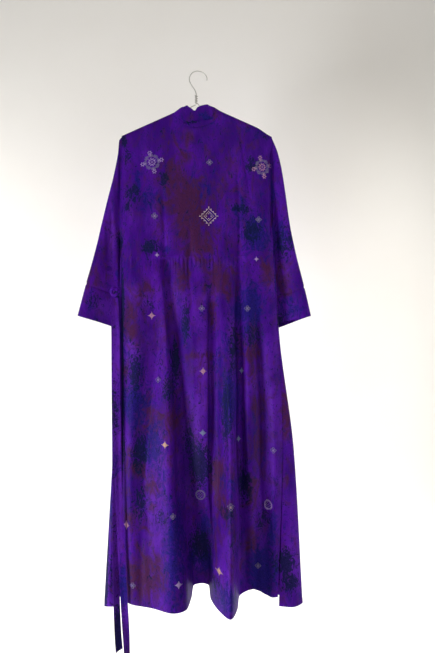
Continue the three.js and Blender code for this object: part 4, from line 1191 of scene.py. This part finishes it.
# Leaves of dim thread and small flowers of a rosette, as shares of its radius, and how far they are turned.
leaf = {"count": 8, "turn": 0.2, "out": 0.54, "length": 0.42, "rows": (-0.16, -0.08, 0, 0.08, 0.16)}
rimFlower = {"count": 4, "turn": 0.24, "places": [(0.58, 1.6), (0.8, 4.2)]}
threadWidth = {"fine": 1.9, "petal": 3.4, "rim": 3.2, "eye": 2.2, "lattice": 2.6}


# A round flower: an eye in a ring of petals, dim leaves round them, and small flowers on the rim.
def rosetteStitches(radius):
    made = ringStitches(radius * 0.05, 4, 2.6, threadWidth["eye"])
    made += ringStitches(radius * 0.25, 10, 7.4, threadWidth["petal"])
    for i in range(leaf["count"]):
        angle = 2 * math.pi * i / leaf["count"] + leaf["turn"]
        for row in leaf["rows"]:
            x = leaf["out"] * math.cos(angle) - row * math.sin(angle)
            z = leaf["out"] * math.sin(angle) + row * math.cos(angle)
            length = radius * (leaf["length"] - abs(row))
            made.append((radius * x, radius * z, angle, length, threadWidth["fine"], "grey"))
    for i in range(rimFlower["count"]):
        angle = 2 * math.pi * i / rimFlower["count"] + rimFlower["turn"]
        for out, size in rimFlower["places"]:
            for x, z, *rest in ringStitches(size, 6, size * 1.2, threadWidth["rim"]):
                atX = radius * out * math.cos(angle) + x
                made.append((atX, radius * out * math.sin(angle) + z, *rest))
    return made


# A stepped diamond: an edge with teeth along it, a second edge inside it, and a small flower. Its cells are
# counted from its middle.
diamond = {"cells": 8, "edges": (4, 7), "petals": 2}


def diamondStitches(radius):
    cells = diamond["cells"]
    pitch = radius / cells
    made = []
    for i in range(-cells, cells + 1):
        for j in range(-cells, cells + 1):
            ring = abs(i) + abs(j)
            tooth = ring == cells and i % 2 == 0
            petal = ring == diamond["petals"] and i * j == 0
            if ring in diamond["edges"] or tooth or petal:
                made.append((i * pitch, j * pitch, 0.0, pitch * 0.95, pitch * 0.75))
    return made


# A four-pointed star of floats laid both ways.
def starStitches(radius):
    rows = 5
    made = []
    for j in range(-rows, rows + 1):
        away = j * radius / rows
        length = 2.3 * radius * max((1 - abs(j) / rows) ** 1.35, 0.08)
        made.append((0, away, 0, length, radius / rows * 1.3))
        made.append((away, 0, math.pi / 2, length, radius / rows * 1.3))
    return made


# A ring with a small woven lattice inside it.
def latticeStitches(radius):
    made = ringStitches(radius * 0.8, 26, radius * 0.42, threadWidth["lattice"])
    pitch = radius * 0.25
    for i in (-2, -1, 0, 1, 2):
        for j in (-2, -1, 0, 1, 2):
            if (i + j) % 2 == 0 and abs(i) + abs(j) < 4:
                made.append((i * pitch, j * pitch, 0.6, radius * 0.26, threadWidth["fine"]))
    return made


# A small ring of four round lobes with an eye in the middle.
def smallRingStitches(radius):
    made = []
    for acrossBy, upBy in ((1, 0), (0, 1), (-1, 0), (0, -1)):
        for x, z, *rest in ringStitches(radius * 0.3, 6, radius * 0.4, 2):
            made.append((x + radius * 0.52 * acrossBy, z + radius * 0.52 * upBy, *rest, "grey"))
    return made + ringStitches(radius * 0.14, 4, radius * 0.3, 1.8)


motifMakers = {
    "rosette": rosetteStitches,
    "diamond": diamondStitches,
    "ring": smallRingStitches,
    "star": starStitches,
    "lattice": latticeStitches,
}
# A stitch's ends are sunk in the cloth. Its section stands at a share of its length either side of the
# middle, and has places across it as shares of its width, each with its rise.
stitch = {
    "sunk": 0.3,
    "sectionAt": 0.28,
    "section": [(-0.5, -0.3), (-0.3, 0.3375), (0, 0.45), (0.3, 0.3375), (0.5, -0.3)],
    "lengths": (0.85, 1.1),
}


# One padded stitch: a lens with pointed ends that rises from the cloth.
def stitchGeometry(place, along, aside, out, length, width):
    foot = place - out * stitch["sunk"]
    vertices = [foot - along * length / 2, foot + along * length / 2]
    for share in (-stitch["sectionAt"], stitch["sectionAt"]):
        middle = place + along * length * share
        vertices += [middle + aside * width * sideways + out * up for sideways, up in stitch["section"]]
    faces = []
    sides = len(stitch["section"])
    for i in range(sides):
        near = 2 + i
        nearNext = 2 + (i + 1) % sides
        faces.append((0, nearNext, near))
        faces.append((near, nearNext, nearNext + sides, near + sides))
        faces.append((near + sides, nearNext + sides, 1))
    return vertices, faces


# All of a panel's motifs as one mesh, each stitch laid on the panel's surface.
def motifMesh(name, ground, wanted):
    polygons = [tuple(polygon.vertices) for polygon in ground.data.polygons]
    tree = BVHTree.FromPolygons([vertex.co for vertex in ground.data.vertices], polygons)
    colors = list(threads)
    vertices = []
    faces = []
    marks = []
    for kind, atX, atZ, radius, narrow, color in wanted:
        for dx, dz, heading, length, width, *other in motifMakers[kind](radius):
            origin = Vector(((atX + dx * narrow) * perMm, -1, (atZ + dz) * perMm))
            hit, normal = tree.ray_cast(origin, Vector((0, 1, 0)))[:2]
            if hit is None:
                continue
            out = -normal if normal.y > 0 else normal
            along = Vector((math.cos(heading) * narrow, 0, math.sin(heading)))
            along = (along - out * along.dot(out)).normalized()
            aside = out.cross(along)
            length = length * rng.uniform(*stitch["lengths"])
            made, around = stitchGeometry(hit / perMm, along, aside, out, length, width)
            start = len(vertices)
            vertices += [vertex * perMm for vertex in made]
            faces += [tuple(start + i for i in face) for face in around]
            marks += [colors.index(other[0] if other else color)] * len(around)
    mesh = bpy.data.meshes.new(name)
    mesh.from_pydata(vertices, [], faces)
    for color in colors[1:]:
        mesh.materials.append(threads[color])
    piece = addObject(name, mesh, threads[colors[0]])
    mesh.materials.clear()
    for color in colors:
        mesh.materials.append(threads[color])
    mesh.polygons.foreach_set("material_index", marks)
    mesh.shade_smooth()
    print(f"{name}: {len(mesh.polygons)} faces")
    return piece


onBodice = [row for row in motifs if row[2] > waist["z"]]
onSkirt = [row for row in motifs if row[2] < waist["z"]]
bodiceMotifs = motifMesh("motifs_back_bodice", backBodicePiece, onBodice)
skirtMotifs = motifMesh("motifs_back_skirt", backSkirtPiece, onSkirt)

wire = {"radius": 1.3}
hook = {"radiusZ": 22.3, "leftRadius": 21.5, "rightRadius": 27, "neckX": -2.6, "neckBottomZ": -89.5}
hangerFrame = {"armDrop": 6.6, "tipX": 196, "barZ": -200}
twist = {"turns": 3.5, "topZ": -65, "gap": 0.5, "bottomUp": 2.5}

# The hook bends round from its free tip, then runs down through its throat to the neck of the hanger.
hookPath = []
for degrees in range(-8, 206, 12):
    angle = math.radians(degrees)
    radius = hook["rightRadius"] if degrees < 90 else hook["leftRadius"]
    rise = wire["radius"] - hook["radiusZ"] + hook["radiusZ"] * math.sin(angle)
    hookPath.append((radius * math.cos(angle), 0, rise))
hookPath += [(-14.4, 0, -39), (-7, 0, -50), (hook["neckX"] - 0.6, 0, -60)]
hookPath += [(hook["neckX"], 0, -72), (hook["neckX"], 0, hook["neckBottomZ"])]


def armZ(x):
    return float(bodiceTop(math.copysign(max(abs(x), neck["half"]), x), 0)) - hangerFrame["armDrop"]


tipX = hangerFrame["tipX"]
barZ = hangerFrame["barZ"]
# The frame runs from the neck along the left arm, round its tip, back along the bar and up the right arm.
framePath = [(hook["neckX"] - 2.2, 0, hook["neckBottomZ"] - 2), (-28, 0, -103)]
framePath += [(x, 0, armZ(x)) for x in (-61, -95, -130, -165, 4 - tipX)]
framePath += [(-tipX - 3, 0, armZ(-tipX) - 5), (2 - tipX, 0, barZ + 2)]
framePath += [(x, 0, barZ - 1.5) for x in (-170, -90, 0, 90, 170)]
framePath += [(tipX - 2, 0, barZ + 2), (tipX + 3, 0, armZ(tipX) - 5)]
framePath += [(x, 0, armZ(x)) for x in (tipX - 4, 165, 130, 95, 61)]
framePath += [(28, 0, -103), (6.5, 0, -94)]

turns = stations(90) * twist["turns"] * 2 * math.pi
reach = 2 * wire["radius"] + twist["gap"]
twistPath = np.stack([
    hook["neckX"] + reach * np.cos(turns),
    reach * np.sin(turns),
    mix(hook["neckBottomZ"] + twist["bottomUp"], twist["topZ"], stations(90)),
], axis=-1)
twistPath = np.concatenate([[(5.6, 0, -93.2), (3.4, 0, -91)], twistPath])

wires = [("hanger_hook", hookPath, 160), ("hanger_frame", framePath, 300), ("hanger_twist", twistPath, 180)]
for node, path, steps in wires:
    smooth = smoothPath(path, steps)
    wireMesh = tubeMesh(f"{node}_wire", tubeGrid(smooth, np.full(steps + 1, wire["radius"]), 16))
    wirePiece = addObject(f"{node}_wire", wireMesh, steel)
    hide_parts(node)
print("hanger made")

# The room, in metres.
room = {"halfWidth": 3, "wallY": 0.4, "floorZ": -1.95, "topZ": 1.6, "frontY": -3}


def addPlane(name, corners, material):
    mesh = bpy.data.meshes.new(name)
    mesh.from_pydata(corners, [], [(0, 1, 2, 3)])
    plane = bpy.data.objects.new(name, mesh)
    bpy.context.scene.collection.objects.link(plane)
    mesh.materials.append(material)
    return plane


# Seen from behind, the wall is left clear, so that the robe's wrapped front shows.
def clearFromBehind(material):
    tree = material.node_tree
    output = next(node for node in tree.nodes if node.type == "OUTPUT_MATERIAL")
    painted = output.inputs["Surface"].links[0].from_socket
    facing = addNode(tree, "ShaderNodeNewGeometry", {}, {}).outputs["Backfacing"]
    clear = addNode(tree, "ShaderNodeBsdfTransparent", {}, {}).outputs[0]
    mixed = addNode(tree, "ShaderNodeMixShader", {}, {0: facing, 1: painted, 2: clear})
    tree.links.new(mixed.outputs[0], output.inputs["Surface"])


paint = makeMatte("white_wall_paint", "#f3f0ec", "#f8f7f5")
clearFromBehind(paint)
boards = makeMatte("pale_floor", "#dedad4", "#e6e3de")
wide = room["halfWidth"]
wallY = room["wallY"]
wallFoot = [(-wide, wallY, room["floorZ"]), (wide, wallY, room["floorZ"])]
wallTop = [(wide, wallY, room["topZ"]), (-wide, wallY, room["topZ"])]
wall = addPlane("backdrop", wallFoot + wallTop, paint)
floorFront = [(-wide, room["frontY"], room["floorZ"]), (wide, room["frontY"], room["floorZ"])]
floor = addPlane("floor", floorFront + wallFoot[::-1], boards)


def addLight(name, place, target, size, power, code):
    data = bpy.data.lights.new(name, "AREA")
    data.shape = "RECTANGLE"
    data.size = size[0]
    data.size_y = size[1]
    data.energy = power
    data.color = linear(code)[:3]
    light = bpy.data.objects.new(name, data)
    light.location = place
    light.visible_camera = False
    light.rotation_euler = (Vector(target) - Vector(place)).to_track_quat("-Z", "Y").to_euler()
    bpy.context.scene.collection.objects.link(light)


# Each light's name, place, target, size, power in watts and colour.
lights = [
    ("window", (-1.95, -1.2, -1.6), (0, 0, -1.2), (0.7, 0.9), 53, "#ffffff"),
    ("fill", (1.2, -2.3, -1.7), (0, 0, -1.1), (1.3, 1.2), 9.5, "#f4f4ff"),
    ("ceiling", (0.2, -1.3, 0.5), (0, 0, -0.5), (1.0, 0.8), 6, "#fffaf0"),
    ("wallWashBehind", (0, 0.16, -1.0), (0, wallY, -1.0), (0.34, 1.3), 2.6, "#fffefa"),
    ("wallWashLow", (0, 0.14, -1.78), (0, wallY, -1.64), (2.4, 0.2), 1.8, "#ffffff"),
    ("wallWashLeft", (-0.9, 0.05, -1.0), (-0.72, wallY, -1.0), (0.3, 1.8), 1.8, "#fffdf6"),
    ("wallWashRight", (0.72, -0.1, -1.0), (0.5, wallY, -1.0), (0.3, 1.8), 4.6, "#fffdf6"),
]
for light in lights:
    addLight(*light)
world = bpy.data.worlds.new("soft_room")
world.use_nodes = True
background = world.node_tree.nodes["Background"]
skyLight = {"code": "#fffcf2", "strength": 0.22}
background.inputs["Color"].default_value = linear(skyLight["code"])
background.inputs["Strength"].default_value = skyLight["strength"]
bpy.context.scene.world = world

view = {"place": (0.0558, -1.45, -0.701), "lens": 29.06, "sensor": 36}
cameraData = bpy.data.cameras.new("camera")
cameraData.lens = view["lens"]
cameraData.sensor_width = view["sensor"]
camera = bpy.data.objects.new("camera", cameraData)
camera.location = view["place"]
camera.rotation_euler = (math.pi / 2, 0, 0)
bpy.context.scene.collection.objects.link(camera)
bpy.context.scene.camera = camera
bpy.context.scene.view_settings.view_transform = "Standard"

print("scene ready")
